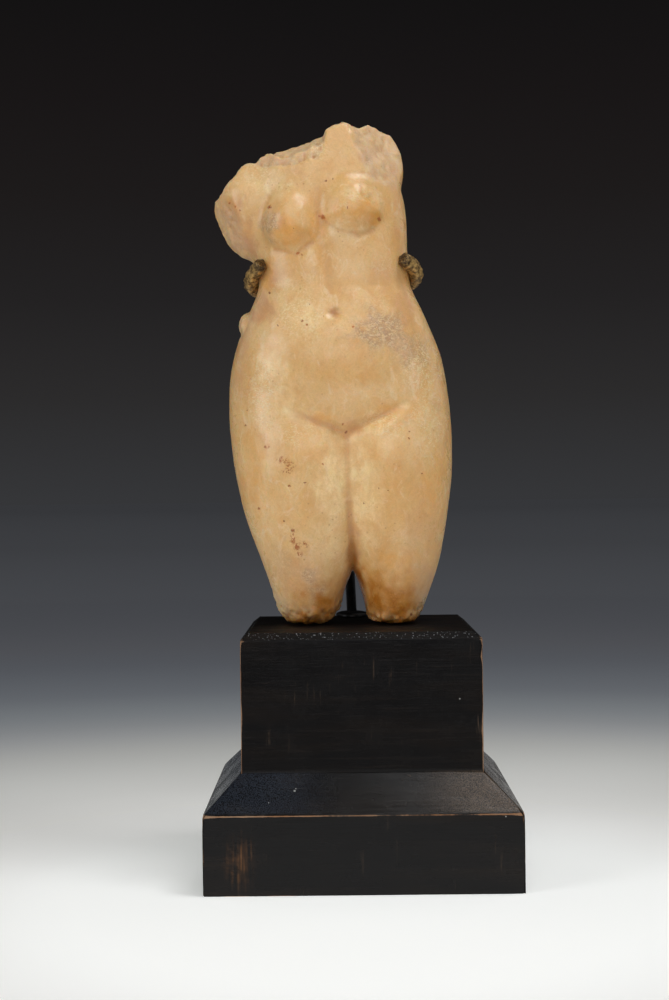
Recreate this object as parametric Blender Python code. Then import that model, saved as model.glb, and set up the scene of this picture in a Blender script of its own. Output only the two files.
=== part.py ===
# Broken female torso carved in alabaster, held at the waist by a two-clawed cradle on a rod,
# on a black wooden block with four mitred boards round its foot.
# Metres, +Z up. The figure faces -Y. The origin is the centre of the plinth's underside.

import math

import bmesh
import bpy
import numpy as np
from mathutils import Vector, noise

# Plinth block: square, as wide as the figure and the rod's foot need, with its four top edges bevelled
BLOCK_HEIGHT = 0.090
BLOCK_BEVEL_IN = 0.0030
BLOCK_BEVEL_DOWN = 0.0024
BLOCK_MARGIN = 0.0006

# Foot boards: four mitred boards round the block, their top edges planed to a slope
BOARD_THICKNESS = 0.0127
BOARD_FACE_HEIGHT = 0.0277
BOARD_INNER_HEIGHT = 0.0405
JOINT_GAP = 0.0003

# Torso: its outlines and carving are in hundredths of its height, from the middle of the block's top
TORSO_HEIGHT = 0.190
TORSO_GAP = 0.0003
TORSO_CELL = 1.05
TORSO_TRIANGLES = 7400
TORSO_SPAN = ((-30, 22), (-17, 19), (0, 103))

# Outer outlines as seen from the front, as (height, x)
BODY_RIGHT = [(0, -15.8), (10, -18.6), (21, -22.5), (32, -24.8), (43, -25.7), (52, -24.9), (60, -22.4),
              (67, -19.5), (73, -20.4), (82, -21.6), (90, -21.5), (104, -21.0)]
BODY_LEFT = [(0, 11.6), (5, 13.5), (10, 15.3), (21, 17.7), (32, 18.8), (42, 18.6), (52, 17.0), (61, 13.6),
             (67, 10.9), (73, 10.3), (82, 10.0), (88, 8.9), (104, 6.0)]

# Inner sides of the two thighs, which part where these curves cross
RIGHT_THIGH_INSIDE = [(0, -4.6), (4, -3.7), (8, -2.4), (10.7, -1.3), (16, 0.8), (25, 3.0), (36, 4.6), (50, 8)]
LEFT_THIGH_INSIDE = [(0, 1.6), (4, 1.0), (8, -0.2), (10.7, -1.3), (16, -3.5), (25, -6.2), (36, -8.6),
                     (50, -12)]

# Front, middle and back of the thighs and of the trunk as seen from the side, as (height, y)
THIGH_FRONT = [(0, -7.6), (10, -9.6), (20, -11.6), (30, -12.8), (40, -12.6), (50, -12.0)]
THIGH_BACK = [(0, 7.2), (10, 8.8), (20, 10.6), (30, 12.2), (40, 13.0), (50, 12.6)]
TRUNK_FRONT = [(30, -11.4), (38, -12.2), (45, -13.1), (51, -13.5), (57, -13.0), (62, -11.6), (67, -10.3),
               (73, -9.8), (80, -9.8), (86, -9.2), (92, -8.0), (104, -5.4)]
TRUNK_BACK = [(30, 12.2), (42, 13.0), (50, 12.4), (57, 10.0), (65, 8.2), (72, 8.6), (80, 10.2), (88, 10.6),
              (94, 9.6), (104, 7.0)]
BODY_MIDDLE = [(0, 0.0), (30, 0.4), (44, 1.0), (56, 0.0), (66, -1.0), (80, 0.4), (104, 1.0)]

# Rounded forms joined to the trunk, as centre and radii
RIGHT_BREAST = ((-12.8, -7.3, 78.4), (5.2, 4.9, 4.5))
LEFT_BREAST = ((-1.0, -7.2, 81.1), (6.0, 4.9, 4.3))
BREAST_RISE = 1.5
RIGHT_BUTTOCK = ((-12.2, 4.2, 42.6), (10.6, 10.8, 13.0))
LEFT_BUTTOCK = ((5.8, 4.2, 42.6), (10.6, 10.8, 13.0))
RIGHT_SHOULDER = ((-20.4, 1.0, 83.2), (8.1, 7.6, 10.2))
LEFT_SHOULDER = ((1.9, 1.2, 90.6), (7.8, 8.4, 9.6))
RIGHT_SHOULDER_BLADE = ((-14.5, 6.6, 83.5), (6.5, 5.0, 8.0))
LEFT_SHOULDER_BLADE = ((1.6, 6.6, 86.0), (6.0, 5.0, 8.0))
HAND_SCAR = ((-21.5, -1.5, 59.8), (1.9, 3.0, 3.0))

# How square the sections of thighs and trunk are, where one turns into the other, and how soft each join is
THIGH_SQUARENESS = 2.1
TRUNK_SQUARENESS = 2.3
HIP_HEIGHT = 34
HIP_SPREAD = 2.5
SOFT_BREAST = 1.6
SOFT_BUTTOCK = 2.4
SOFT_BLADE = 3.0
SOFT_RIGHT_SHOULDER = 2.0
SOFT_LEFT_SHOULDER = 0.6
SOFT_SCAR = 0.5
SOFT_EDGE = 0.4
SOFT_KNEE = 1.2

# The fold between belly and thighs: its lowest point, the slope of each side and how its ends curl up
GROIN = (-2.2, 37.6)
GROIN_SLOPE_RIGHT = 0.38
GROIN_SLOPE_LEFT = 0.47
GROIN_CURL = 0.045
GROIN_DEPTH = 1.1
GROIN_WIDTH = 1.3
GROIN_FADE_RIGHT = (3, 11)
GROIN_FADE_LEFT = (6, 14)
GROIN_FADED = 0.08
CARVING_SIDE = 5.0

# Swellings of the front, as middle x and height, half width, half height and rise
MOUNDS = {
    "belly": (-3.8, 54.0, 9.0, 7.0, 0.9),
    "mons": (-2.2, 42.5, 4.5, 4.0, 0.5),
    "right thigh": (-11.2, 34.5, 5.0, 5.5, 0.5),
    "left thigh": (6.8, 34.5, 5.0, 5.5, 0.5),
    "right ribs": (-12.7, 72.5, 4.0, 4.0, 0.45),
    "left ribs": (0.3, 72.5, 4.0, 4.0, 0.45),
    "navel": (-4.5, 60.7, 1.05, 0.95, -1.3),
}

# Grooves that follow the body's middle line, as the heights where each starts and ends, half width and depth
MIDDLE_LINE = [(0, -1.4), (12, -1.4), (37, -2.2), (61, -4.5), (72, -6.2), (82, -7.2), (104, -7.6)]
FRONT_GROOVE = ((61, 66), (84, 89), 1.2, 0.45)
SPINE_GROOVE = ((52, 60), (90, 98), 1.8, 1.1)
CLEFT_GROOVE = ((28, 33), (48, 53), 1.1, 2.0)

# Broken surfaces. Each plane has a point on it and an outward direction; the neck's is a height over x
NECK_BREAK = [(-34, 73), (-28.6, 83.6), (-25.4, 87.7), (-21.4, 91.7), (-19.8, 91.8), (-16.8, 95.0),
              (-12.6, 96.2), (-6.6, 98.8), (-2.1, 100.3), (0.4, 99.4), (2.8, 100.2), (5.0, 99.2), (20, 95)]
NECK_BREAK_TILT = 0.30
NECK_BREAK_BACK = 6.0
NECK_BREAK_SPAN = (-20.0, -6.2)
RIGHT_ARM_BREAK = ((-26.6, 1.0, 78.5), (-0.78, -0.46, -0.42))
LEFT_ARM_BREAK = ((0.0, -7.7, 93.0), (0.60, -0.71, 0.36))
BREAK_ROUGHNESS = 0.45
BREAK_SCALE = 0.32

# Lower ends of the thighs: middle and reach in x, and how high the rounding lifts at the reach
RIGHT_KNEE = (-10.2, 6.4, 2.7)
LEFT_KNEE = (7.0, 6.6, 1.6)
KNEE_DEPTH = 9.0
KNEE_LIMIT = 1.25

# Cradle: a rod bent round the back of the waist, its ends swollen into lumpy claws.
# Each claw has the angle of its tip from straight behind, its height in hundredths, and how late it rises.
CRADLE_DIAMETER = 0.0034
CLAW_DIAMETER = 0.0050
CLAW_LUMP = 0.0003
CRADLE_CLEARANCE = 0.00035
CRADLE_BACK_HEIGHT = 65.0
RIGHT_CLAW = (-116, 71.0, 3.2)
LEFT_CLAW = (115, 71.8, 2.0)
WAIST_AXIS = (-4.5, -0.8)
CRADLE_SIDES = 12
CRADLE_RINGS = 64
TIP_RINGS = 2.2
LUMP_TURN = 2.1
CRADLE_START = 16.0
CRADLE_STEPS = 40

# Rod: it leans slightly from a low domed foot behind the figure up into the cradle's hub
ROD_DIAMETER = 0.0040
ROD_CLEARANCE = 0.00025
ROD_BEHIND = 0.0025
ROD_ASIDE = -0.0027
ROUND_SIDES = 24
FOOT_FLANGE = 0.00415
FOOT_SHOULDER = 0.75
FOOT_HEIGHT = 0.0022
FOOT_RIM = 0.0008
HUB_WALL = 0.0016
HUB_CAP = 0.0008
HUB_BORE_DEPTH = 0.0050
HUB_OFFSET = 0.0085

HUNDREDTH = TORSO_HEIGHT / 100
TORSO_FOOT_Z = BLOCK_HEIGHT + TORSO_GAP
ROD_BORE = ROD_DIAMETER / 2 + ROD_CLEARANCE
FOOT_RADIUS = ROD_BORE + FOOT_FLANGE
BUTTOCK_BACK = (RIGHT_BUTTOCK[0][1] + RIGHT_BUTTOCK[1][1]) * HUNDREDTH
ROD_Y = BUTTOCK_BACK + ROD_BEHIND + ROD_DIAMETER / 2
BLOCK_HALF = ROD_Y + FOOT_RADIUS + BLOCK_MARGIN + BLOCK_BEVEL_IN


def clear_scene():
    for found in list(bpy.data.objects):
        bpy.data.objects.remove(found)


def finish_of(name, colour, roughness, metallic=0.0):
    material = bpy.data.materials.new(name)
    material.use_nodes = True
    shader = material.node_tree.nodes["Principled BSDF"]
    shader.inputs["Base Color"].default_value = (*colour, 1.0)
    shader.inputs["Roughness"].default_value = roughness
    shader.inputs["Metallic"].default_value = metallic
    return material


def object_of(name, mesh, material, smooth_angle=None):
    mesh.materials.append(material)
    made = bpy.data.objects.new(name, mesh)
    bpy.context.scene.collection.objects.link(made)
    if smooth_angle is not None:
        mesh.shade_smooth()
        mesh.set_sharp_from_angle(angle=smooth_angle)
    return made


def mesh_of(name, build):
    """A mesh from a function that fills a bmesh."""
    shape = bmesh.new()
    build(shape)
    bmesh.ops.recalc_face_normals(shape, faces=shape.faces)
    mesh = bpy.data.meshes.new(name)
    shape.to_mesh(mesh)
    shape.free()
    return mesh


def loft(shape, rings):
    """Closed rings of points joined by quads, with a cap at each end."""
    made = [[shape.verts.new(point) for point in ring] for ring in rings]
    for lower, upper in zip(made, made[1:]):
        for i in range(len(lower)):
            j = (i + 1) % len(lower)
            shape.faces.new((lower[i], lower[j], upper[j], upper[i]))
    shape.faces.new(list(reversed(made[0])))
    shape.faces.new(made[-1])


def turned(shape, profile, foot, direction):
    """A profile of (radius, height) turned round an axis that rises from the foot."""
    lean = Vector((0, 0, 1)).rotation_difference(direction)
    rings = []
    for radius, height in profile:
        if radius == 0:
            rings.append([shape.verts.new(lean @ Vector((0, 0, height)) + foot)])
            continue
        ring = []
        for i in range(ROUND_SIDES):
            angle = 2 * math.pi * i / ROUND_SIDES
            spot = Vector((radius * math.cos(angle), radius * math.sin(angle), height))
            ring.append(shape.verts.new(lean @ spot + foot))
        rings.append(ring)
    closed = len(rings[0]) > 1
    for lower, upper in zip(rings, rings[1:] + (rings[:1] if closed else [])):
        for i in range(ROUND_SIDES):
            j = (i + 1) % ROUND_SIDES
            corners = [lower[i % len(lower)], lower[j % len(lower)]]
            corners += [upper[j % len(upper)], upper[i % len(upper)]]
            shape.faces.new(list(dict.fromkeys(corners)))


def square_ring(half, z):
    return [(-half, -half, z), (half, -half, z), (half, half, z), (-half, half, z)]


# Plinth


def make_block(wood):
    rings = [
        square_ring(BLOCK_HALF, 0.0),
        square_ring(BLOCK_HALF, BLOCK_HEIGHT - BLOCK_BEVEL_DOWN),
        square_ring(BLOCK_HALF - BLOCK_BEVEL_IN, BLOCK_HEIGHT),
    ]
    object_of("plinth_block", mesh_of("plinth_block", lambda shape: loft(shape, rings)), wood)


def make_boards(wood):
    """One board, mitred at both ends and repeated against each side of the block."""
    inner = BLOCK_HALF + JOINT_GAP
    outer = inner + BOARD_THICKNESS
    mitre = JOINT_GAP / math.sqrt(2)
    profile = [(inner, 0.0), (outer, 0.0), (outer, BOARD_FACE_HEIGHT), (inner, BOARD_INNER_HEIGHT)]
    rings = [[(side * (out - mitre), -out, z) for out, z in profile] for side in (-1, 1)]
    mesh = mesh_of("foot_board", lambda shape: loft(shape, rings))
    mesh.materials.append(wood)
    for quarter, side in enumerate(("front", "right", "back", "left")):
        board = bpy.data.objects.new(f"base_board_{side}", mesh)
        board.rotation_euler.z = quarter * math.pi / 2
        bpy.context.scene.collection.objects.link(board)


# Torso form, in hundredths of its height


def curve(stations, height):
    """A smooth curve through a few (height, value) stations."""
    at, value = np.array(stations, float).T
    slope = np.gradient(value, at)
    i = np.clip(np.searchsorted(at, height) - 1, 0, len(at) - 2)
    span = at[i + 1] - at[i]
    u = np.clip((height - at[i]) / span, 0.0, 1.0)
    start = value[i] * (1 + 2 * u) * (1 - u) ** 2 + slope[i] * span * u * (1 - u) ** 2
    end = value[i + 1] * u * u * (3 - 2 * u) - slope[i + 1] * span * u * u * (1 - u)
    return start + end


def ease(value, low, high):
    """0 below low, 1 above high, and smooth between them."""
    u = np.clip((value - low) / (high - low), 0.0, 1.0)
    return u * u * (3 - 2 * u)


def bell(value, width):
    return np.exp(-((value / width) ** 2))


def section(x, y, sides, depths, middle, squareness):
    """Distance to a horizontal section between two sides, a front and a back, square in the corners."""
    centre_x = (sides[0] + sides[1]) / 2
    half_width = (sides[1] - sides[0]) / 2
    half_depth = np.where(y < middle, middle - depths[0], depths[1] - middle)
    across = np.abs(x - centre_x) / half_width
    along = np.abs(y - middle) / half_depth
    share = np.maximum((across**squareness + along**squareness) ** (1 / squareness), 1e-3)
    return np.hypot(x - centre_x, y - middle) * (1 - 1 / share)


def ellipsoid(x, y, z, form, rise=1.0):
    """Distance to an ellipsoid, whose upper half may be drawn out by the rise."""
    (cx, cy, cz), (rx, ry, rz) = form
    z = np.where(z > cz, cz + (z - cz) / rise, z)
    share = np.sqrt(((x - cx) / rx) ** 2 + ((y - cy) / ry) ** 2 + ((z - cz) / rz) ** 2)
    reach = np.sqrt((x - cx) ** 2 + (y - cy) ** 2 + (z - cz) ** 2)
    return reach * (1 - 1 / np.maximum(share, 1e-3))


def joined(a, b, softness):
    """The union of two forms, with a fillet where they meet."""
    mix = np.clip(0.5 + 0.5 * (b - a) / softness, 0.0, 1.0)
    return b * (1 - mix) + a * mix - softness * mix * (1 - mix)


def cut(a, b, softness):
    """What two forms share, with the edge between them slightly eased."""
    return -joined(-a, -b, softness)


def plane(x, y, z, side):
    (px, py, pz), direction = side
    nx, ny, nz = Vector(direction).normalized()
    return (x - px) * nx + (y - py) * ny + (z - pz) * nz


def legs(x, y, z):
    middle = curve(BODY_MIDDLE, z)
    depths = (curve(THIGH_FRONT, z), curve(THIGH_BACK, z))
    right_sides = (curve(BODY_RIGHT, z), curve(RIGHT_THIGH_INSIDE, z))
    left_sides = (curve(LEFT_THIGH_INSIDE, z), curve(BODY_LEFT, z))
    right = section(x, y, right_sides, depths, middle, THIGH_SQUARENESS)
    left = section(x, y, left_sides, depths, middle, THIGH_SQUARENESS)
    return joined(right, left, 0.5 + 1.5 * ease(z, 9, 20))


def trunk(x, y, z):
    depths = (curve(TRUNK_FRONT, z), curve(TRUNK_BACK, z))
    sides = (curve(BODY_RIGHT, z), curve(BODY_LEFT, z))
    return section(x, y, sides, depths, curve(BODY_MIDDLE, z), TRUNK_SQUARENESS)


def groin_height(x):
    """The height of the fold between belly and thighs, a V whose ends curl up to the hips."""
    out = np.abs(x - GROIN[0])
    slope = np.where(x < GROIN[0], GROIN_SLOPE_RIGHT, GROIN_SLOPE_LEFT)
    return GROIN[1] + slope * out + GROIN_CURL * np.maximum(out - 9, 0) ** 2


def along_middle(x, z, groove):
    """The depth of a groove beside the middle line, rising from nothing and fading out again."""
    start, end, width, depth = groove
    return depth * bell(x - curve(MIDDLE_LINE, z), width) * ease(z, *start) * (1 - ease(z, *end))


def carving(x, y, z):
    """How far the carved relief stands out from the plain body; grooves are negative."""
    out = np.abs(x - GROIN[0])
    fade = np.where(x < GROIN[0], ease(out, *GROIN_FADE_RIGHT), ease(out, *GROIN_FADE_LEFT))
    front = -GROIN_DEPTH * bell(z - groin_height(x), GROIN_WIDTH) * (1 - (1 - GROIN_FADED) * fade)
    front = front - along_middle(x, z, FRONT_GROOVE)
    for middle, height, half_width, half_height, rise in MOUNDS.values():
        front = front + rise * bell(x - middle, half_width) * bell(z - height, half_height)
    back = -along_middle(x, z, SPINE_GROOVE) - along_middle(x, z, CLEFT_GROOVE)
    return front * ease(-y, 0.0, CARVING_SIDE) + back * ease(y, 0.0, CARVING_SIDE)


def roughness(x, y, z):
    """Uneven fracture, worked out at each point from smooth noise."""
    points = np.stack(np.broadcast_arrays(x, y, z), -1).reshape(-1, 3) * BREAK_SCALE
    values = [noise.noise(Vector(p)) + 0.5 * noise.noise(Vector(p) * 2.3) for p in points]
    return BREAK_ROUGHNESS * np.array(values).reshape(np.broadcast(x, y, z).shape)


def whole_body(x, y, z):
    """The unbroken body, standing a little above and below its breaks."""
    on_front = ease(-y, -2.0, 3.0)
    hip_line = HIP_HEIGHT + (groin_height(x) - HIP_HEIGHT) * on_front
    spread = HIP_SPREAD + 0.3 * np.maximum(np.abs(x - GROIN[0]) - 6, 0)
    above = ease(z - hip_line, -spread, spread)
    body = legs(x, y, z) * (1 - above) + trunk(x, y, z) * above
    for form in (RIGHT_BUTTOCK, LEFT_BUTTOCK):
        body = joined(body, ellipsoid(x, y, z, form), SOFT_BUTTOCK)
    for form in (RIGHT_SHOULDER_BLADE, LEFT_SHOULDER_BLADE):
        body = joined(body, ellipsoid(x, y, z, form), SOFT_BLADE)
    for form in (RIGHT_BREAST, LEFT_BREAST):
        body = joined(body, ellipsoid(x, y, z, form, BREAST_RISE), SOFT_BREAST)
    return body - carving(x, y, z)


def knee_end(x, y, z):
    """How far a point lies below the rounded, broken lower ends of the thighs."""
    middle, reach, lift = (np.where(x < GROIN[0], *pair) for pair in zip(RIGHT_KNEE, LEFT_KNEE))
    return lift * np.minimum(np.hypot((x - middle) / reach, y / KNEE_DEPTH), KNEE_LIMIT) ** 4 - z


def stone(x, y, z):
    """Distance to the surface of the broken stone: negative inside."""
    rough = roughness(x, y, z)
    arm_break = plane(x, y, z, RIGHT_ARM_BREAK) + rough
    right_shoulder = cut(ellipsoid(x, y, z, RIGHT_SHOULDER), arm_break, SOFT_RIGHT_SHOULDER)
    body = joined(whole_body(x, y, z), right_shoulder, SOFT_RIGHT_SHOULDER)
    body = joined(body, ellipsoid(x, y, z, LEFT_SHOULDER), SOFT_LEFT_SHOULDER)
    body = cut(body, plane(x, y, z, LEFT_ARM_BREAK) + rough, SOFT_EDGE)
    start, end = NECK_BREAK_SPAN
    tilt = NECK_BREAK_TILT * ease(x, start, start + 6) * (1 - 0.6 * ease(x, end - 1, end + 1))
    neck = z - curve(NECK_BREAK, x) + tilt * (NECK_BREAK_BACK - y) + 0.6 * rough
    body = cut(body, neck, SOFT_EDGE)
    body = joined(body, ellipsoid(x, y, z, HAND_SCAR) + rough, SOFT_SCAR)
    return cut(body, knee_end(x, y, z) + 0.5 * rough, SOFT_KNEE)


def shifted(axis, along, across):
    """Slices that pick a span along one axis of a grid and another span across the other two."""
    return tuple(along if i == axis else across for i in range(3))


def grid_net(field, axes):
    """A quad mesh of the surface where the field changes sign: one point for each cell that it crosses."""
    inside = field < 0
    shape = np.array(field.shape) - 1
    total = np.zeros((*shape, 3))
    count = np.zeros(shape)
    for axis in range(3):
        low = shifted(axis, slice(None, -1), slice(None))
        high = shifted(axis, slice(1, None), slice(None))
        crossed = inside[low] != inside[high]
        along = np.where(crossed, field[low] / np.where(crossed, field[low] - field[high], 1.0), 0.0)
        for corner in ((0, 0), (0, 1), (1, 0), (1, 1)):
            offset = np.insert(corner, axis, 0)
            window = tuple(slice(offset[i], offset[i] + shape[i]) for i in range(3))
            count += crossed[window]
            for i in range(3):
                total[..., i] += (along[window] if i == axis else offset[i]) * crossed[window]
    used = count > 0
    index = np.full(used.shape, -1)
    index[used] = np.arange(used.sum())
    start = np.array([axis[0] for axis in axes])
    step = np.array([axis[1] - axis[0] for axis in axes])
    points = start + (np.argwhere(used) + total[used] / count[used][:, None]) * step
    faces = []
    for axis in range(3):
        low = shifted(axis, slice(None, -1), slice(1, -1))
        high = shifted(axis, slice(1, None), slice(1, -1))
        cell = np.argwhere(inside[low] != inside[high]) + np.insert((1, 1), axis, 0)
        round_edge = []
        for before_u, before_v in ((1, 1), (0, 1), (0, 0), (1, 0)):
            neighbour = cell.copy()
            neighbour[:, (axis + 1) % 3] -= before_u
            neighbour[:, (axis + 2) % 3] -= before_v
            round_edge.append(index[tuple(neighbour.T)])
        quads = np.stack(round_edge, -1)
        flipped = ~inside[tuple(cell.T)]
        quads[flipped] = quads[flipped][:, ::-1]
        faces.append(quads)
    return points, np.concatenate(faces)


def drawn_to_surface(form, points, cell, rounds=3, step=0.05):
    """Points moved along the form's slope until they lie on its surface."""
    for _ in range(rounds):
        x, y, z = points.T
        across = form(x + step, y, z) - form(x - step, y, z)
        along = form(x, y + step, z) - form(x, y - step, z)
        rise = form(x, y, z + step) - form(x, y, z - step)
        slope = np.stack([across, along, rise], -1) / (2 * step)
        move = -slope * (form(x, y, z) / np.maximum((slope**2).sum(-1), 0.1))[:, None]
        size = np.linalg.norm(move, axis=1, keepdims=True)
        points = points + move * np.minimum(1.0, 0.6 * cell / np.maximum(size, 1e-9))
    return points


def make_torso(alabaster):
    margin = 2 * TORSO_CELL
    xs, ys, zs = (np.arange(low - margin, high + margin, TORSO_CELL) for low, high in TORSO_SPAN)
    field = stone(xs[:, None, None], ys[None, :, None], zs[None, None, :])
    points, faces = grid_net(field, (xs, ys, zs))
    points = drawn_to_surface(stone, points, TORSO_CELL)
    points[:, 2] = np.maximum(points[:, 2], 0.0)
    mesh = bpy.data.meshes.new("torso")
    mesh.from_pydata((points * HUNDREDTH).tolist(), [], faces.tolist())
    torso = object_of("torso", mesh, alabaster, math.radians(50))
    torso.location.z = TORSO_FOOT_Z
    decimate = torso.modifiers.new("Fewer faces", "DECIMATE")
    decimate.ratio = TORSO_TRIANGLES / (2 * len(faces))


# Metal mount


def waist_path():
    """The cradle's centre line from claw to claw: in front it lies on the stone, behind it stands off."""
    angles = np.radians(np.linspace(RIGHT_CLAW[0], LEFT_CLAW[0], CRADLE_RINGS))
    last, tip, lateness = (np.where(angles < 0, *pair) for pair in zip(RIGHT_CLAW, LEFT_CLAW))
    share = np.abs(angles / np.radians(last))
    thick = CRADLE_DIAMETER + (CLAW_DIAMETER - CRADLE_DIAMETER) * ease(share, 0.55, 0.85)
    z = CRADLE_BACK_HEIGHT + (tip - CRADLE_BACK_HEIGHT) * share**lateness
    room = (thick / 2 + CRADLE_CLEARANCE) / HUNDREDTH
    room = room + HUB_OFFSET / HUNDREDTH * (1 - ease(share, 0.0, 0.5))
    across, along = np.sin(angles), np.cos(angles)
    reach = np.full(CRADLE_RINGS, CRADLE_START)
    for _ in range(CRADLE_STEPS):
        x = WAIST_AXIS[0] + across * reach
        y = WAIST_AXIS[1] + along * reach
        reach += 0.6 * (room - whole_body(x, y, z))
    centre = np.stack([x, y, z], -1) * HUNDREDTH + [0, 0, TORSO_FOOT_Z]
    return centre, thick / 2, share


def arm_rings(centre, radius, share):
    """Rings of points round the cradle's centre line, lumpy at the claws and blunt at the tips."""
    ahead = np.gradient(centre, axis=0)
    ahead /= np.linalg.norm(ahead, axis=1, keepdims=True)
    outward = np.cross(ahead, [0, 0, 1])
    outward /= np.linalg.norm(outward, axis=1, keepdims=True)
    upward = np.cross(outward, ahead)
    turn = np.linspace(0, 2 * math.pi, CRADLE_SIDES, endpoint=False)
    off_stone = (1 + np.cos(turn)) / 2
    rings = []
    for i in range(CRADLE_RINGS):
        end = min(i, CRADLE_RINGS - 1 - i)
        blunt = math.sqrt(1 - max(0.0, 1 - (end + 0.6) / TIP_RINGS) ** 2)
        lump = CLAW_LUMP * ease(share[i], 0.5, 0.8) * np.sin(LUMP_TURN * i + 2 * turn) * off_stone
        size = (radius[i] + lump) * blunt
        ring = np.outer(size * np.cos(turn), outward[i]) + np.outer(size * np.sin(turn), upward[i])
        rings.append((centre[i] + ring).tolist())
    return rings


def make_cradle(bronze, rings, hub_foot, direction):
    arms = mesh_of("cradle_arms", lambda shape: loft(shape, rings))
    cradle = object_of("waist_cradle", arms, bronze, math.radians(50))
    outer = ROD_BORE + HUB_WALL
    top = HUB_BORE_DEPTH + CRADLE_DIAMETER + 2 * HUB_CAP
    profile = [(0, HUB_BORE_DEPTH), (ROD_BORE, HUB_BORE_DEPTH), (ROD_BORE, 0), (outer, 0),
               (outer, top - HUB_CAP), (outer - HUB_CAP, top), (0, top)]
    hub = object_of("hub", mesh_of("hub", lambda shape: turned(shape, profile, hub_foot, direction)), bronze)
    hub.hide_render = True
    hub.display_type = "WIRE"
    join = cradle.modifiers.new("Hub", "BOOLEAN")
    join.operation = "UNION"
    join.solver = "EXACT"
    join.object = hub


def make_rod(steel, start, direction, length):
    half = ROD_DIAMETER / 2
    profile = [(0, 0), (half, 0), (half, length), (0, length)]
    mesh = mesh_of("support_rod", lambda shape: turned(shape, profile, start, direction))
    object_of("support_rod", mesh, steel, math.radians(50))


def make_rod_foot(steel, start):
    shoulder = ROD_BORE + FOOT_SHOULDER * FOOT_FLANGE
    profile = [(ROD_BORE, 0), (FOOT_RADIUS, 0), (FOOT_RADIUS, FOOT_RIM), (shoulder, 0.7 * FOOT_HEIGHT),
               (ROD_BORE + FOOT_RIM, FOOT_HEIGHT), (ROD_BORE, FOOT_HEIGHT)]
    mesh = mesh_of("rod_foot", lambda shape: turned(shape, profile, start, Vector((0, 0, 1))))
    object_of("rod_foot", mesh, steel, math.radians(40))


def make_mount():
    """The rod, its foot and the cradle, all on one leaning line."""
    centre, radius, share = waist_path()
    middle = Vector(centre[int(np.argmin(share))])
    start = Vector((ROD_ASIDE, ROD_Y, BLOCK_HEIGHT + JOINT_GAP))
    direction = (middle - start).normalized()
    hub_foot = middle - direction * (HUB_BORE_DEPTH + HUB_CAP + CRADLE_DIAMETER / 2)
    rings = arm_rings(centre, radius, share)
    make_cradle(finish_of("olive bronze", (0.16, 0.13, 0.06), 0.45, 1.0), rings, hub_foot, direction)
    length = (hub_foot - start).length + HUB_BORE_DEPTH - ROD_CLEARANCE
    make_rod(finish_of("rod steel", (0.015, 0.015, 0.016), 0.40, 1.0), start, direction, length)
    make_rod_foot(finish_of("foot steel", (0.018, 0.018, 0.020), 0.35, 1.0), start)


clear_scene()
make_block(finish_of("ebonised block", (0.012, 0.010, 0.009), 0.38))
make_boards(finish_of("ebonised boards", (0.014, 0.011, 0.010), 0.35))
make_torso(finish_of("alabaster", (0.78, 0.60, 0.38), 0.42))
make_mount()
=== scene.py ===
import math

import bmesh
import bpy
import numpy as np
from mathutils import Matrix, Vector, noise


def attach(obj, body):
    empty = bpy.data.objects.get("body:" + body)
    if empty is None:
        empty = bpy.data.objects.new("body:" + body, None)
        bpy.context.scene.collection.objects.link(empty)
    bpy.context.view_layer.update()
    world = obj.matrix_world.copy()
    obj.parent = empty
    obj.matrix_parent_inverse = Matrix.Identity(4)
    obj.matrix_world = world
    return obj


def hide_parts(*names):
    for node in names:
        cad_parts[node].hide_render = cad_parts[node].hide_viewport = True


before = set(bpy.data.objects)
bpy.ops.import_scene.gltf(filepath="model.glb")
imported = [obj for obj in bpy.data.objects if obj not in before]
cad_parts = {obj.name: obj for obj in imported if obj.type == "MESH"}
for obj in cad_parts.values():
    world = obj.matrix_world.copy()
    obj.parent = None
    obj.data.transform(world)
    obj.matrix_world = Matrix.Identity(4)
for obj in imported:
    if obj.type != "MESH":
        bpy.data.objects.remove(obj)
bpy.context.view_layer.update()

print("packed model loaded")


# Shared tools

def ease(value, low, high):
    u = np.clip((value - low) / (high - low), 0.0, 1.0)
    return u * u * (3 - 2 * u)


def bell(value, width):
    return np.exp(-((value / width) ** 2))


def curveAt(stations, height):  # a smooth curve through (height, value) stations
    at, value = np.array(stations, float).T
    slope = np.gradient(value, at)
    i = np.clip(np.searchsorted(at, height) - 1, 0, len(at) - 2)
    span = at[i + 1] - at[i]
    u = np.clip((height - at[i]) / span, 0.0, 1.0)
    start = value[i] * (1 + 2 * u) * (1 - u) ** 2 + slope[i] * span * u * (1 - u) ** 2
    end = value[i + 1] * u * u * (3 - 2 * u) - slope[i + 1] * span * u * u * (1 - u)
    return start + end


latticeValues = np.random.RandomState(11).rand(65536)


def latticeValue(cell, seed):
    spun = cell[..., 0] * 73856093 ^ cell[..., 1] * 19349663 ^ cell[..., 2] * 83492791 ^ seed * 2654435
    return latticeValues[spun & 65535]


def softNoise(points, size, seed=0):  # smooth noise from -1 to 1, its lumps about one size wide
    scaled = points / size + 500.0
    cell = np.floor(scaled).astype(np.int64)
    f = scaled - cell
    f = f * f * (3 - 2 * f)
    total = np.zeros(len(points))
    for corner in np.ndindex(2, 2, 2):
        weight = np.prod(np.where(corner, f, 1 - f), axis=-1)
        total += weight * latticeValue(cell + np.array(corner), seed)
    return 2 * total - 1


def scallops(points, size, seed=0):  # 0 in the middle of each scoop, 1 on the ridges between them
    scaled = points / size + 500.0
    cell = np.floor(scaled).astype(np.int64)
    nearest = np.full(len(points), 9.0)
    for step in np.ndindex(3, 3, 3):
        near = cell + np.array(step) - 1
        place = near + np.stack([latticeValue(near, seed + k) for k in range(3)], -1)
        nearest = np.minimum(nearest, ((scaled - place) ** 2).sum(-1))
    return np.minimum(nearest, 1.0)


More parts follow.
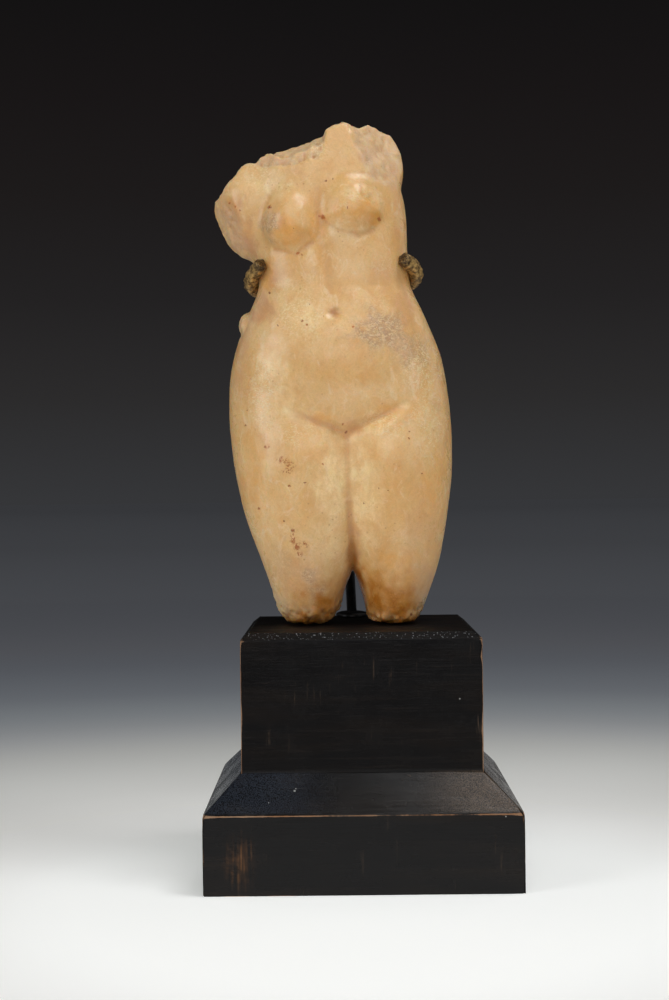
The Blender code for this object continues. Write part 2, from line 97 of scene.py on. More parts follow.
def placed(name, data):
    made = bpy.data.objects.new(name, data)
    bpy.context.scene.collection.objects.link(made)
    return made


def finishedObject(name, mesh, material, smooth=True):
    if not mesh.materials:
        mesh.materials.append(material)
    if smooth:
        mesh.shade_smooth()
    return placed(name, mesh)


def meshOf(shape, name):  # turns a bmesh into a new mesh
    mesh = bpy.data.meshes.new(name)
    shape.to_mesh(mesh)
    shape.free()
    return mesh


def pointsOf(mesh):
    points = np.empty(len(mesh.vertices) * 3)
    mesh.vertices.foreach_get("co", points)
    return points.reshape(-1, 3)


def writeAttribute(mesh, name, values):
    layer = mesh.attributes.new(name, "FLOAT", "POINT")
    layer.data.foreach_set("value", np.ascontiguousarray(values, np.float32))


def dress(piece, slot, *nodes):  # the calls every finished piece needs
    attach(piece, "root")
    if nodes:
        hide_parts(*nodes)


# Node tools for materials and Geometry Nodes trees

def addNode(tree, kind, inputs=None, **settings):
    node = tree.nodes.new(kind)
    for key, value in settings.items():
        setattr(node, key, value)
    for key, value in (inputs or {}).items():
        if isinstance(value, bpy.types.NodeSocket):
            tree.links.new(value, node.inputs[key])
        else:
            node.inputs[key].default_value = value
    return node


def newMaterial(name, **shaderValues):
    made = bpy.data.materials.new(name)
    made.use_nodes = True
    tree = made.node_tree
    shader = tree.nodes["Principled BSDF"]
    for key, value in shaderValues.items():
        shader.inputs[key.replace("_", " ")].default_value = value
    place = addNode(tree, "ShaderNodeTexCoord").outputs["Object"]
    return made, tree, shader, place


def plugIn(tree, shader, **sources):
    for key, source in sources.items():
        tree.links.new(source, shader.inputs[key.replace("_", " ")])


def mathOf(tree, operation, a, b):
    return addNode(tree, "ShaderNodeMath", {0: a, 1: b}, operation=operation).outputs[0]


def times(tree, a, b):
    return mathOf(tree, "MULTIPLY", a, b)


def vectorOf(tree, operation, a, b, out=0):
    return addNode(tree, "ShaderNodeVectorMath", {0: a, 1: b}, operation=operation).outputs[out]


def partsOf(tree, vector):
    return addNode(tree, "ShaderNodeSeparateXYZ", {0: vector}).outputs


def noiseOf(tree, place, size, detail=3.0, roughness=0.55, stretch=(1, 1, 1), distortion=0.0, out="Fac"):
    inputs = {"Vector": vectorOf(tree, "MULTIPLY", place, stretch), "Scale": 1 / size, "Detail": detail,
              "Roughness": roughness, "Distortion": distortion}
    return addNode(tree, "ShaderNodeTexNoise", inputs).outputs[out]


def cellsOf(tree, place, count):  # distance from the middle of each cell, so many cells to a metre
    return addNode(tree, "ShaderNodeTexVoronoi", {"Vector": place, "Scale": count}).outputs["Distance"]


def between(tree, value, low, high, toLow=0.0, toHigh=1.0):
    return addNode(tree, "ShaderNodeMapRange", {0: value, 1: low, 2: high, 3: toLow, 4: toHigh},
                   interpolation_type="SMOOTHSTEP").outputs[0]


def masked(tree, mask, *pattern):
    return times(tree, mask, between(tree, *pattern))


def blend(tree, share, a, b):
    a, b = ((*c, 1.0) if isinstance(c, tuple) else c for c in (a, b))
    return addNode(tree, "ShaderNodeMix", {0: share, 6: a, 7: b}, data_type="RGBA").outputs[2]


def layered(tree, colour, *layers):  # each layer is how much of it shows, and its colour
    for share, shade in layers:
        colour = blend(tree, share, colour, shade)
    return colour


def attributesOf(tree, *names):
    return [addNode(tree, "ShaderNodeAttribute", attribute_name=name).outputs["Fac"] for name in names]


def bumped(tree, *layers):  # each layer is a height, its strength and its depth
    normal = None
    for height, strength, depth in layers:
        inputs = {"Height": height, "Strength": strength, "Distance": depth}
        if normal is not None:
            inputs["Normal"] = normal
        normal = addNode(tree, "ShaderNodeBump", inputs).outputs[0]
    return normal


def nodeGroup(name, inputs):  # a Geometry Nodes tree with named inputs
    tree = bpy.data.node_groups.new(name, "GeometryNodeTree")
    face = tree.interface
    face.new_socket("Geometry", in_out="INPUT", socket_type="NodeSocketGeometry")
    face.new_socket("Geometry", in_out="OUTPUT", socket_type="NodeSocketGeometry")
    for label, kind in inputs.items():
        face.new_socket(label, in_out="INPUT", socket_type="NodeSocket" + kind)
    return tree, addNode(tree, "NodeGroupInput").outputs


def finishGroup(tree, geometry, finish):
    real = addNode(tree, "GeometryNodeRealizeInstances", {"Geometry": geometry}).outputs[0]
    done = addNode(tree, "GeometryNodeSetMaterial", {"Geometry": real, "Material": finish}).outputs[0]
    tree.links.new(done, addNode(tree, "NodeGroupOutput").inputs[0])
    return tree


def grown(source, tree, name, values):  # what the tree makes of an object, as a plain mesh
    piece = placed(name + "Source", source)
    modifier = piece.modifiers.new(name, "NODES")
    modifier.node_group = tree
    for socket in tree.interface.items_tree:
        if socket.name in values:
            modifier[socket.identifier] = values[socket.name]
    bpy.context.view_layer.update()
    seen = piece.evaluated_get(bpy.context.evaluated_depsgraph_get())
    mesh = bpy.data.meshes.new_from_object(seen)
    piece.modifiers.remove(modifier)
    bpy.data.objects.remove(piece)
    mesh.name = name
    return mesh


# Stone: its form in hundredths of its height, from the middle of the block's top

stoneForm = {
    "height": 0.190,
    "footZ": 0.0903,
    "cell": 0.47,
    "span": ((-30, 22), (-17, 19), (0, 103)),
    "breasts": (((-12.8, -7.3, 78.4), (5.2, 4.9, 4.5)), ((-1.0, -7.2, 81.1), (6.0, 4.9, 4.3))),
    "buttocks": (((-12.2, 4.2, 42.6), (10.6, 10.8, 13.0)), ((5.8, 4.2, 42.6), (10.6, 10.8, 13.0))),
    "blades": (((-14.5, 6.6, 83.5), (6.5, 5.0, 8.0)), ((1.6, 6.6, 86.0), (6.0, 5.0, 8.0))),
    "rightShoulder": ((-20.4, 1.0, 83.2), (8.1, 7.6, 10.2)),
    "leftShoulder": ((1.9, 1.2, 90.6), (7.8, 8.4, 9.6)),
    "handScar": ((-21.5, -1.5, 59.3), (1.9, 3.0, 2.7)),
    "groin": (-2.2, 37.6),
    "middleLine": [(0, -1.4), (12, -1.4), (37, -2.2), (61, -4.5), (72, -6.2), (82, -7.2), (104, -7.6)],
    "neckBreak": [(-34, 73), (-28.6, 83.6), (-25.4, 87.7), (-21.4, 91.7), (-19.8, 91.8), (-16.8, 95.0),
                  (-12.6, 96.2), (-6.6, 98.8), (-2.1, 100.3), (0.4, 99.4), (2.8, 100.2), (5.0, 99.2),
                  (20, 95)],
    "rightArmBreak": ((-26.6, 1.0, 78.5), (-0.78, -0.46, -0.42)),
    "leftArmBreak": ((0.0, -7.7, 93.0), (0.60, -0.71, 0.36)),
    "neckTilt": (-20.0, -6.2),  # where the break begins and stops to lean back
    "kneeBreaks": ((-10.2, 6.4, 2.7), (7.0, 6.6, 1.6)),  # middle, reach and lift of each
    "kneeChip": (11.8, -4.7, 2.3),
}
hundredth = stoneForm["height"] / 100

# Outlines of the body and the thighs: height, x or depth
stoneOutlines = {
    "bodyRight": [(0, -15.8), (10, -18.6), (21, -22.5), (32, -24.8), (43, -25.7), (52, -24.9), (60, -22.4),
                  (67, -19.5), (73, -20.4), (82, -21.6), (90, -21.5), (104, -21.0)],
    "bodyLeft": [(0, 11.6), (5, 13.5), (10, 15.3), (21, 17.7), (32, 18.8), (42, 18.6), (52, 17.0),
                 (61, 13.6), (67, 10.9), (73, 10.3), (82, 10.0), (88, 8.9), (104, 6.0)],
    "bodyMiddle": [(0, 0.0), (30, 0.4), (44, 1.0), (56, 0.0), (66, -1.0), (80, 0.4), (104, 1.0)],
    "rightThighInside": [(0, -4.6), (4, -3.7), (8, -2.4), (10.7, -1.3), (16, 0.8), (25, 3.0), (36, 4.6),
                         (50, 8)],
    "leftThighInside": [(0, 1.6), (4, 1.0), (8, -0.2), (10.7, -1.3), (16, -3.5), (25, -6.2), (36, -8.6),
                        (50, -12)],
    "thighFront": [(0, -7.6), (10, -9.6), (20, -11.6), (30, -12.8), (40, -12.6), (50, -12.0)],
    "thighBack": [(0, 7.2), (10, 8.8), (20, 10.6), (30, 12.2), (40, 13.0), (50, 12.6)],
    "trunkFront": [(30, -11.4), (38, -12.2), (45, -13.1), (51, -13.5), (57, -13.0), (62, -11.6),
                   (67, -10.3), (73, -9.8), (80, -9.8), (86, -9.2), (92, -8.0), (104, -5.4)],
    "trunkBack": [(30, 12.2), (42, 13.0), (50, 12.4), (57, 10.0), (65, 8.2), (72, 8.6), (80, 10.2),
                  (88, 10.6), (94, 9.6), (104, 7.0)],
}

# Swellings of the front: middle x and height, half width, half height, rise
stoneMounds = (
    (-3.8, 54.0, 9.0, 7.0, 0.9),     # belly
    (-2.2, 42.5, 4.5, 4.0, 0.5),     # below the belly
    (-11.2, 34.5, 5.0, 5.5, 0.5),    # top of the right thigh
    (6.8, 34.5, 5.0, 5.5, 0.5),      # top of the left thigh
    (-12.7, 72.5, 4.0, 4.0, 0.45),   # right ribs
    (0.3, 72.5, 4.0, 4.0, 0.45),     # left ribs
    (-4.5, 60.7, 1.15, 0.95, -0.95),  # navel
)

# Grooves along the middle line: where each rises and fades, half width, depth
stoneGrooves = {
    "front": ((61, 66), (84, 89), 1.5, 0.34),
    "spine": ((52, 60), (90, 98), 1.8, 1.1),
    "cleft": ((28, 33), (48, 53), 1.1, 2.0),
}


def section(x, y, sides, depths, middle, squareness):
    centreX = (sides[0] + sides[1]) / 2
    halfWidth = (sides[1] - sides[0]) / 2
    halfDepth = np.where(y < middle, middle - depths[0], depths[1] - middle)
    across = np.abs(x - centreX) / halfWidth
    along = np.abs(y - middle) / halfDepth
    share = np.maximum((across**squareness + along**squareness) ** (1 / squareness), 1e-3)
    return np.hypot(x - centreX, y - middle) * (1 - 1 / share)


def roundForm(x, y, z, form, rise=1.0):
    (cx, cy, cz), (rx, ry, rz) = form
    z = np.where(z > cz, cz + (z - cz) / rise, z)
    share = np.sqrt(((x - cx) / rx) ** 2 + ((y - cy) / ry) ** 2 + ((z - cz) / rz) ** 2)
    reach = np.sqrt((x - cx) ** 2 + (y - cy) ** 2 + (z - cz) ** 2)
    return reach * (1 - 1 / np.maximum(share, 1e-3))


def joined(a, b, softness):
    mix = np.clip(0.5 + 0.5 * (b - a) / softness, 0.0, 1.0)
    return b * (1 - mix) + a * mix - softness * mix * (1 - mix)


def cutBy(a, b, softness):
    return -joined(-a, -b, softness)


def planeOf(x, y, z, side):
    (px, py, pz), direction = side
    nx, ny, nz = Vector(direction).normalized()
    return (x - px) * nx + (y - py) * ny + (z - pz) * nz


def groinHeight(x):
    out = np.abs(x - stoneForm["groin"][0])
    slope = np.where(x < stoneForm["groin"][0], 0.38, 0.47)
    return stoneForm["groin"][1] + slope * out + 0.045 * np.maximum(out - 9, 0) ** 2


def alongMiddle(x, z, groove):
    start, end, width, depth = groove
    aside = x - curveAt(stoneForm["middleLine"], z)
    return depth * bell(aside, width) * ease(z, *start) * (1 - ease(z, *end))


def carving(x, y, z):
    gx = stoneForm["groin"][0]
    out = np.abs(x - gx)
    fade = np.where(x < gx, ease(out, 5, 13), ease(out, 6, 14))
    crease = 0.80 * bell(z - groinHeight(x), 1.15) * (1 - 0.92 * fade)
    front = -crease - alongMiddle(x, z, stoneGrooves["front"])
    for middle, height, halfWidth, halfHeight, rise in stoneMounds:
        front = front + rise * bell(x - middle, halfWidth) * bell(z - height, halfHeight)
    back = -alongMiddle(x, z, stoneGrooves["spine"]) - alongMiddle(x, z, stoneGrooves["cleft"])
    return front * ease(-y, 0.0, 5.0) + back * ease(y, 0.0, 5.0)


def wholeBody(x, y, z):
    at = {name: curveAt(line, z) for name, line in stoneOutlines.items()}
    middle = at["bodyMiddle"]
    thighDepths = at["thighFront"], at["thighBack"]
    legs = joined(section(x, y, (at["bodyRight"], at["rightThighInside"]), thighDepths, middle, 2.1),
                  section(x, y, (at["leftThighInside"], at["bodyLeft"]), thighDepths, middle, 2.1),
                  0.5 + 1.5 * ease(z, 9, 20))
    trunk = section(x, y, (at["bodyRight"], at["bodyLeft"]), (at["trunkFront"], at["trunkBack"]), middle, 2.3)
    hipLine = 34 + (groinHeight(x) - 34) * ease(-y, -2.0, 3.0)
    spread = 2.5 + 0.3 * np.maximum(np.abs(x - stoneForm["groin"][0]) - 6, 0)
    above = ease(z - hipLine, -spread, spread)
    body = legs * (1 - above) + trunk * above
    for name, rise, softness in (("buttocks", 1.0, 2.4), ("blades", 1.0, 3.0), ("breasts", 1.5, 1.6)):
        for part in stoneForm[name]:
            body = joined(body, roundForm(x, y, z, part, rise), softness)
    return body - carving(x, y, z)


def breakFields(x, y, z, rough):  # how far a point lies outside each broken face
    start, end = stoneForm["neckTilt"]
    tilt = 0.30 * ease(x, start, start + 6) * (1 - 0.6 * ease(x, end - 1, end + 1))
    sides = zip(*stoneForm["kneeBreaks"])
    middle, reach, lift = (np.where(x < stoneForm["groin"][0], *pair) for pair in sides)
    return {
        "neck": z - curveAt(stoneForm["neckBreak"], x) + tilt * (6.0 - y) + 0.6 * rough,
        "rightArm": planeOf(x, y, z, stoneForm["rightArmBreak"]) + rough,
        "leftArm": planeOf(x, y, z, stoneForm["leftArmBreak"]) + rough,
        "knees": lift * np.minimum(np.hypot((x - middle) / reach, y / 9.0), 1.25) ** 4 - z + 0.5 * rough,
    }


def stoneDistance(x, y, z, rough=0.0):
    broken = breakFields(x, y, z, rough)
    shoulder = cutBy(roundForm(x, y, z, stoneForm["rightShoulder"]), broken["rightArm"], 2.0)
    body = joined(wholeBody(x, y, z), shoulder, 2.0)
    body = joined(body, roundForm(x, y, z, stoneForm["leftShoulder"]), 0.6)
    body = cutBy(body, broken["leftArm"], 0.4)
    body = cutBy(body, broken["neck"], 0.4)
    body = joined(body, roundForm(x, y, z, stoneForm["handScar"]) + rough, 0.5)
    return cutBy(body, broken["knees"], 1.2)


def fracture(points):  # uneven break, the same large lumps as the solid has
    values = [noise.noise(Vector(p)) + 0.5 * noise.noise(Vector(p) * 2.3) for p in points * 0.32]
    return 0.45 * np.array(values)


def shifted(axis, along, across):
    return tuple(along if i == axis else across for i in range(3))


def gridNet(field, axes):  # a quad mesh where the field changes sign
    inside = field < 0
    shape = np.array(field.shape) - 1
    total = np.zeros((*shape, 3))
    count = np.zeros(shape)
    for axis in range(3):
        low = shifted(axis, slice(None, -1), slice(None))
        high = shifted(axis, slice(1, None), slice(None))
        crossed = inside[low] != inside[high]
        along = np.where(crossed, field[low] / np.where(crossed, field[low] - field[high], 1.0), 0.0)
        for corner in ((0, 0), (0, 1), (1, 0), (1, 1)):
            offset = np.insert(corner, axis, 0)
            window = tuple(slice(offset[i], offset[i] + shape[i]) for i in range(3))
            count += crossed[window]
            for i in range(3):
                total[..., i] += (along[window] if i == axis else offset[i]) * crossed[window]
    used = count > 0
    index = np.full(used.shape, -1)
    index[used] = np.arange(used.sum())
    start = np.array([axis[0] for axis in axes])
    step = np.array([axis[1] - axis[0] for axis in axes])
    points = start + (np.argwhere(used) + total[used] / count[used][:, None]) * step
    faces = []
    for axis in range(3):
        low = shifted(axis, slice(None, -1), slice(1, -1))
        high = shifted(axis, slice(1, None), slice(1, -1))
        cell = np.argwhere(inside[low] != inside[high]) + np.insert((1, 1), axis, 0)
        roundEdge = []
        for beforeU, beforeV in ((1, 1), (0, 1), (0, 0), (1, 0)):
            neighbour = cell.copy()
            neighbour[:, (axis + 1) % 3] -= beforeU
            neighbour[:, (axis + 2) % 3] -= beforeV
            roundEdge.append(index[tuple(neighbour.T)])
        quads = np.stack(roundEdge, -1)
        flipped = ~inside[tuple(cell.T)]
        quads[flipped] = quads[flipped][:, ::-1]
        faces.append(quads)
    return points, np.concatenate(faces)


def slopeOf(points, rough, step=0.05):
    slope = []
    for axis in range(3):
        offset = np.zeros(3)
        offset[axis] = step
        slope.append(stoneDistance(*(points + offset).T, rough) - stoneDistance(*(points - offset).T, rough))
    return np.stack(slope, -1) / (2 * step)


def stoneSurface():
    cell = stoneForm["cell"]
    xs, ys, zs = (np.arange(low - 2 * cell, high + 2 * cell, cell) for low, high in stoneForm["span"])
    field = stoneDistance(xs[:, None, None], ys[None, :, None], zs[None, None, :])
    near = np.argwhere(np.abs(field) < 1.5)
    spots = np.stack([xs[near[:, 0]], ys[near[:, 1]], zs[near[:, 2]]], -1)
    field[tuple(near.T)] = stoneDistance(*spots.T, fracture(spots))
    points, faces = gridNet(field, (xs, ys, zs))
    for _ in range(3):
        rough = fracture(points)
        slope = slopeOf(points, rough)
        move = -slope * (stoneDistance(*points.T, rough) / np.maximum((slope**2).sum(-1), 0.1))[:, None]
        size = np.linalg.norm(move, axis=1, keepdims=True)
        points = points + move * np.minimum(1.0, 0.6 * cell / np.maximum(size, 1e-9))
    rough = fracture(points)
    slope = slopeOf(points, rough)
    normals = slope / np.linalg.norm(slope, axis=1, keepdims=True)
    return points, faces, normals, rough


# Fine relief of the front as strokes: from x, height to x, height, half width, rise
stoneStrokes = (
    (-17.6, 74.2, -17.9, 79.5, 0.7, -0.10),   # beside the right breast
    (-15.6, 73.4, -11.8, 72.4, 0.7, -0.30),   # under the right breast
    (-11.8, 72.4, -8.6, 74.6, 0.7, -0.30),
    (-6.0, 78.9, -3.4, 77.0, 0.65, -0.25),    # crease under the left breast
    (-3.4, 77.0, 0.6, 76.0, 0.65, -0.28),
    (0.6, 76.0, 3.6, 77.1, 0.65, -0.25),
    (3.6, 77.1, 4.8, 79.2, 0.65, -0.15),
    (-17.5, 66.4, -7.0, 66.0, 0.8, -0.07),    # line of the waist
    (-7.0, 66.0, 6.0, 66.6, 0.8, -0.07),
    (0.4, 48.6, 5.2, 49.9, 1.3, 0.04),        # fold of the lower belly
    (5.2, 49.9, 9.4, 52.0, 1.2, 0.05),
    (0.5, 46.3, 5.6, 47.4, 1.3, -0.04),
    (5.6, 47.4, 9.6, 49.6, 1.3, -0.05),
    (-2.4, 31.5, -1.4, 17.5, 3.4, 0.50),      # the thighs lie close together
    (-2.3, 36.4, -2.0, 24.0, 0.8, -0.30),
    (-2.0, 24.0, -1.4, 13.0, 0.9, -0.48),
    (3.0, 36.6, 8.0, 40.4, 1.2, 0.24),        # thigh below the fold
    (-3.4, 88.2, 2.0, 88.3, 0.35, -0.07),     # faint line above the left breast
    (2.0, 88.3, 6.6, 87.2, 0.35, -0.07),
    (4.1, 90.6, 5.8, 87.7, 0.40, -0.22),      # flap in the break of the left arm
)


def strokeRelief(points, strokes):
    hollow, raised = np.zeros(len(points)), np.zeros(len(points))
    spots = points[:, [0, 2]]
    for x0, z0, x1, z1, width, rise in strokes:
        start, along = np.array([x0, z0]), np.array([x1 - x0, z1 - z0])
        t = np.clip(((spots - start) @ along) / (along @ along), 0, 1)
        away = np.linalg.norm(spots - start - t[:, None] * along, axis=1)
        hollow = np.minimum(hollow, rise * bell(away, width))
        raised = np.maximum(raised, rise * bell(away, width))
    return (hollow + raised) * ease(-points[:, 1], 0.0, 4.0)


# Lower border of the broken band along the neck: x, height
neckBand = [(-30, 98), (-22, 95), (-19.8, 91.0), (-18.6, 90.4), (-15.2, 90.2), (-11.6, 90.1), (-9.1, 91.2),
            (-6.9, 92.2), (-6.1, 95.1), (-5.5, 100), (-4.0, 106), (30, 110)]


# Soft patches of colour: x, height, half width, half height, strength. Some are stains; the cream patches are
# painted light, the frost patches carry a painted highlight, and parts of the blush and umber patches are
# painted shade
stonePatches = {
    "amber": ((-12.6, 76.0, 4.2, 3.4, 0.8), (-7.6, 77.6, 2.2, 3.4, 0.8), (0.8, 80.2, 4.6, 3.6, 0.55),
              (-17.2, 68.6, 1.6, 2.6, 0.9), (-24.4, 82.6, 2.4, 1.8, 0.7), (-22.0, 77.8, 1.5, 2.2, 0.7),
              (-6.5, 73.0, 1.2, 5.0, 0.5), (3.9, 79.0, 1.4, 1.3, 1.0), (9.8, 68.0, 1.6, 2.6, 0.6),
              (-0.2, 57.8, 1.7, 1.3, 0.9), (3.6, 36.0, 6.0, 5.0, 0.30), (-9.0, 36.0, 5.0, 4.0, 0.30),
              (5.0, 24.0, 6.0, 10.0, 0.22), (6.0, 10.5, 6.4, 6.0, 0.65), (-15.0, 92.5, 2.6, 1.2, 0.7),
              (-3.4, 80.4, 1.2, 1.0, 0.7), (6.4, 41.6, 5.0, 1.4, 0.5), (-8.0, 40.2, 4.0, 1.2, 0.5),
              (-21.0, 30.0, 3.0, 10.0, 0.3), (14.0, 24.0, 3.4, 12.0, 0.4), (-2.0, 50.0, 6.0, 5.0, 0.2)),
    # blush: pinkish stains on the breaks and chest, and painted shade on the waist and hip sides, the outer
    # thighs, the navel, the groin's apex and the groove between the thighs
    "blushAndShade": ((-16.0, 69.5, 2.6, 3.4, 0.8), (-18.4, 62.0, 3.0, 4.0, 0.9), (9.4, 62.0, 2.6, 4.0, 0.8),
              (-24.6, 80.5, 2.6, 5.5, 0.95), (-21.6, 75.6, 2.4, 4.0, 0.9), (-1.0, 15.0, 1.3, 6.0, 0.9),
              (-9.4, 68.8, 1.6, 1.0, 0.5), (5.6, 68.4, 4.0, 2.6, 0.5), (-22.5, 52.0, 2.4, 9.0, 0.5),
              (16.0, 40.0, 2.0, 12.0, 0.4), (-2.2, 38.6, 3.0, 1.8, 0.4), (-4.6, 60.6, 1.7, 1.2, 0.9),
              (12.0, 18.0, 4.0, 8.0, 0.5), (12.0, 10.0, 3.0, 5.0, 0.6), (-11.0, 10.0, 5.0, 6.0, 0.5),
              (5.4, 93.4, 2.4, 2.6, 0.7), (2.6, 92.0, 2.0, 1.8, 1.0), (7.3, 89.8, 1.3, 1.8, 1.0),
              (9.0, 54.0, 4.0, 3.0, 0.3), (2.0, 88.0, 5.4, 0.7, 0.4), (-11.8, 88.6, 2.2, 1.4, 0.4),
              (-14.6, 80.2, 1.4, 3.0, 0.4), (8.6, 80.0, 2.0, 8.0, 0.35), (-4.6, 44.6, 8.0, 3.0, 0.2)),
    "grey": ((-16.9, 78.2, 1.7, 2.8, 1.0), (4.2, 57.2, 6.2, 4.2, 1.0), (10.6, 54.0, 5.0, 4.0, 0.7),
             (0.6, 96.2, 0.9, 2.6, 0.7), (-9.4, 10.0, 1.8, 1.8, 0.8), (-8.2, 6.4, 2.4, 2.6, 0.7),
             (2.9, 91.6, 1.4, 0.9, 0.6), (-1.4, 55.6, 2.0, 1.0, 0.7), (-15.6, 13.0, 2.6, 5.0, 0.35),
             (12.6, 10.0, 2.4, 5.0, 0.1)),
    # frost: a crystalline texture whose pale colour is a painted highlight
    "frostHighlight": ((-18.6, 46.0, 3.4, 8.5, 0.9), (-10.6, 60.4, 4.6, 4.6, 0.8), (4.6, 39.2, 3.8, 2.4, 1.0),
              (12.4, 50.0, 5.0, 6.5, 0.9), (13.6, 40.0, 4.0, 9.0, 0.7), (-7.5, 93.5, 3.4, 3.2, 0.9),
              (-12.0, 37.6, 5.0, 2.4, 0.7), (12.0, 2.6, 1.5, 2.6, 1.0), (-23.2, 59.9, 2.0, 2.2, 0.9),
              (-19.0, 88.4, 3.6, 3.0, 0.7), (0.6, 83.6, 3.6, 1.7, 0.7), (-3.0, 81.4, 2.0, 1.4, 0.4),
              (-6.0, 22.0, 3.0, 9.0, 0.25), (9.3, 87.7, 0.8, 1.0, 1.0), (4.0, 62.0, 3.0, 2.4, 0.4),
              (-13.0, 66.0, 5.0, 2.0, 0.4), (5.4, 70.4, 4.0, 2.4, 0.4)),
    # painted light: pale patches where the stone is lit brighter, on the inner thighs, hips and chest
    "paintedLight": ((-4.6, 28.0, 3.6, 9.0, 1.0), (1.4, 27.0, 3.4, 10.0, 1.0), (-5.2, 17.0, 2.4, 5.0, 0.7),
              (1.6, 16.0, 2.2, 4.0, 0.5), (-7.0, 36.5, 3.0, 3.0, 0.8), (3.4, 36.8, 4.4, 3.0, 1.0),
              (-9.5, 61.0, 3.0, 2.6, 0.8), (-16.5, 50.0, 3.4, 5.0, 0.7), (-14.5, 44.0, 3.0, 5.0, 0.6),
              (-17.6, 85.6, 4.0, 3.0, 0.6), (-0.5, 84.0, 4.4, 2.2, 0.5)),
    # umber: brown stain on the knees, with painted shade on their undersides
    "umberAndShade": ((-7.4, 3.0, 4.8, 4.6, 0.88), (-10.6, 1.2, 4.4, 2.2, 1.0), (7.4, 3.6, 5.4, 5.6, 0.95),
              (-0.2, 8.2, 1.5, 3.6, 1.0), (3.6, 4.6, 3.2, 6.4, 0.95), (-1.6, 12.6, 0.8, 2.4, 0.6),
              (-13.6, 3.0, 1.6, 2.4, 0.4), (-5.6, 74.0, 0.6, 0.6, 0.2)),
}


def patchMask(points, patches, seed, soft=0.0):  # soft spreads the patch's rim
    wander = np.stack([softNoise(points, 2.4, seed), softNoise(points, 2.4, seed + 1)], -1)
    wander += 0.6 * np.stack([softNoise(points, 0.9, seed + 2), softNoise(points, 0.9, seed + 3)], -1)
    x, z = (points[:, [0, 2]] + wander).T
    ragged = 0.35 * softNoise(points, 1.6, seed + 4) + 0.25 * softNoise(points, 0.8, seed + 6)
    patchShare = np.zeros(len(points))
    for px, pz, halfWidth, halfHeight, strength in patches:
        away = np.hypot((x - px) / halfWidth, (z - pz) / halfHeight) + ragged
        patchShare = np.maximum(patchShare, strength * (1 - ease(away, 0.35 - soft, 1.25 + soft)))
    return patchShare * ease(-points[:, 1], -1.0, 3.0)


def fineRelief(points, rough):
    broken = breakFields(*points.T, rough)
    x, y, z = points.T
    onNeck = ease(broken["neck"], -0.9, -0.1)
    onRightArm = ease(broken["rightArm"], -0.9, -0.1) * ease(-x, 17.5, 19.5) * ease(z, 66, 70)
    onLeftArm = ease(broken["leftArm"], -0.6, -0.05) * ease(x, -1.0, 1.0) * ease(z, 85, 87)
    onKnees = ease(broken["knees"], -3.0, -0.3)
    onScar = bell(np.linalg.norm(points - np.array(stoneForm["handScar"][0]), axis=1), 3.2)
    onChip = bell(np.linalg.norm(points - np.array(stoneForm["kneeChip"]), axis=1), 2.4)
    onBand = ease(z - curveAt(neckBand, x) + 0.8 * rough, -0.1, 0.4) * ease(-y, -1.0, 3.0)
    fresh = np.maximum.reduce([onNeck, onBand, 0.7 * onRightArm, 0.8 * onLeftArm, 0.9 * onKnees, onScar,
                               onChip])
    relief = 0.07 * softNoise(points, 6.0, 1) + 0.035 * softNoise(points, 2.4, 2)
    relief += 0.02 * softNoise(points, 1.1, 3)
    relief += strokeRelief(points, stoneStrokes)
    scoops = 0.55 * scallops(points, 2.6, 5) + 0.25 * scallops(points, 1.2, 9)
    chips = 0.16 * softNoise(points, 0.9, 21) + 0.10 * softNoise(points, 0.5, 22)
    scooped = (0.8 - 0.5 * onLeftArm - 0.5 * onBand) * (scoops - 0.52)
    relief += fresh * (scooped + (1 + 1.4 * onKnees + onRightArm + 0.8 * onBand) * chips)
    # strokes of the neck's break rise to the right
    slanted = points @ np.array([[0.8, 0, 0.6], [0, 1, 0], [-0.6, 0, 0.8]])
    combed = softNoise(slanted * np.array([1.0, 0.4, 0.28]), 0.55, 31)
    relief += (0.24 * combed - 0.16) * onBand
    relief += 0.09 * patchMask(points, stonePatches["grey"][1:3], 61) * softNoise(points, 0.8, 41)
    relief += 0.05 * patchMask(points, stonePatches["frostHighlight"][3:5], 62) * softNoise(points, 0.7, 42)
    return relief, fresh, onBand, onLeftArm, onRightArm, onKnees


def hollowness(mesh, rounds):  # how far each point lies below its neighbours' smooth mean
    edges = np.empty(len(mesh.edges) * 2, np.int32)
    mesh.edges.foreach_get("vertices", edges)
    a, b = edges.reshape(-1, 2).T
    start = pointsOf(mesh)
    count = np.bincount(a, minlength=len(start)) + np.bincount(b, minlength=len(start))
    place = start.copy()
    for _ in range(rounds):
        mean = np.stack([np.bincount(a, place[b, k], len(start)) + np.bincount(b, place[a, k], len(start))
                         for k in range(3)], -1)
        place = mean / count[:, None]
    normals = np.empty(len(start) * 3, np.float32)
    mesh.vertices.foreach_get("normal", normals)
    return ((place - start) * normals.reshape(-1, 3)).sum(-1)


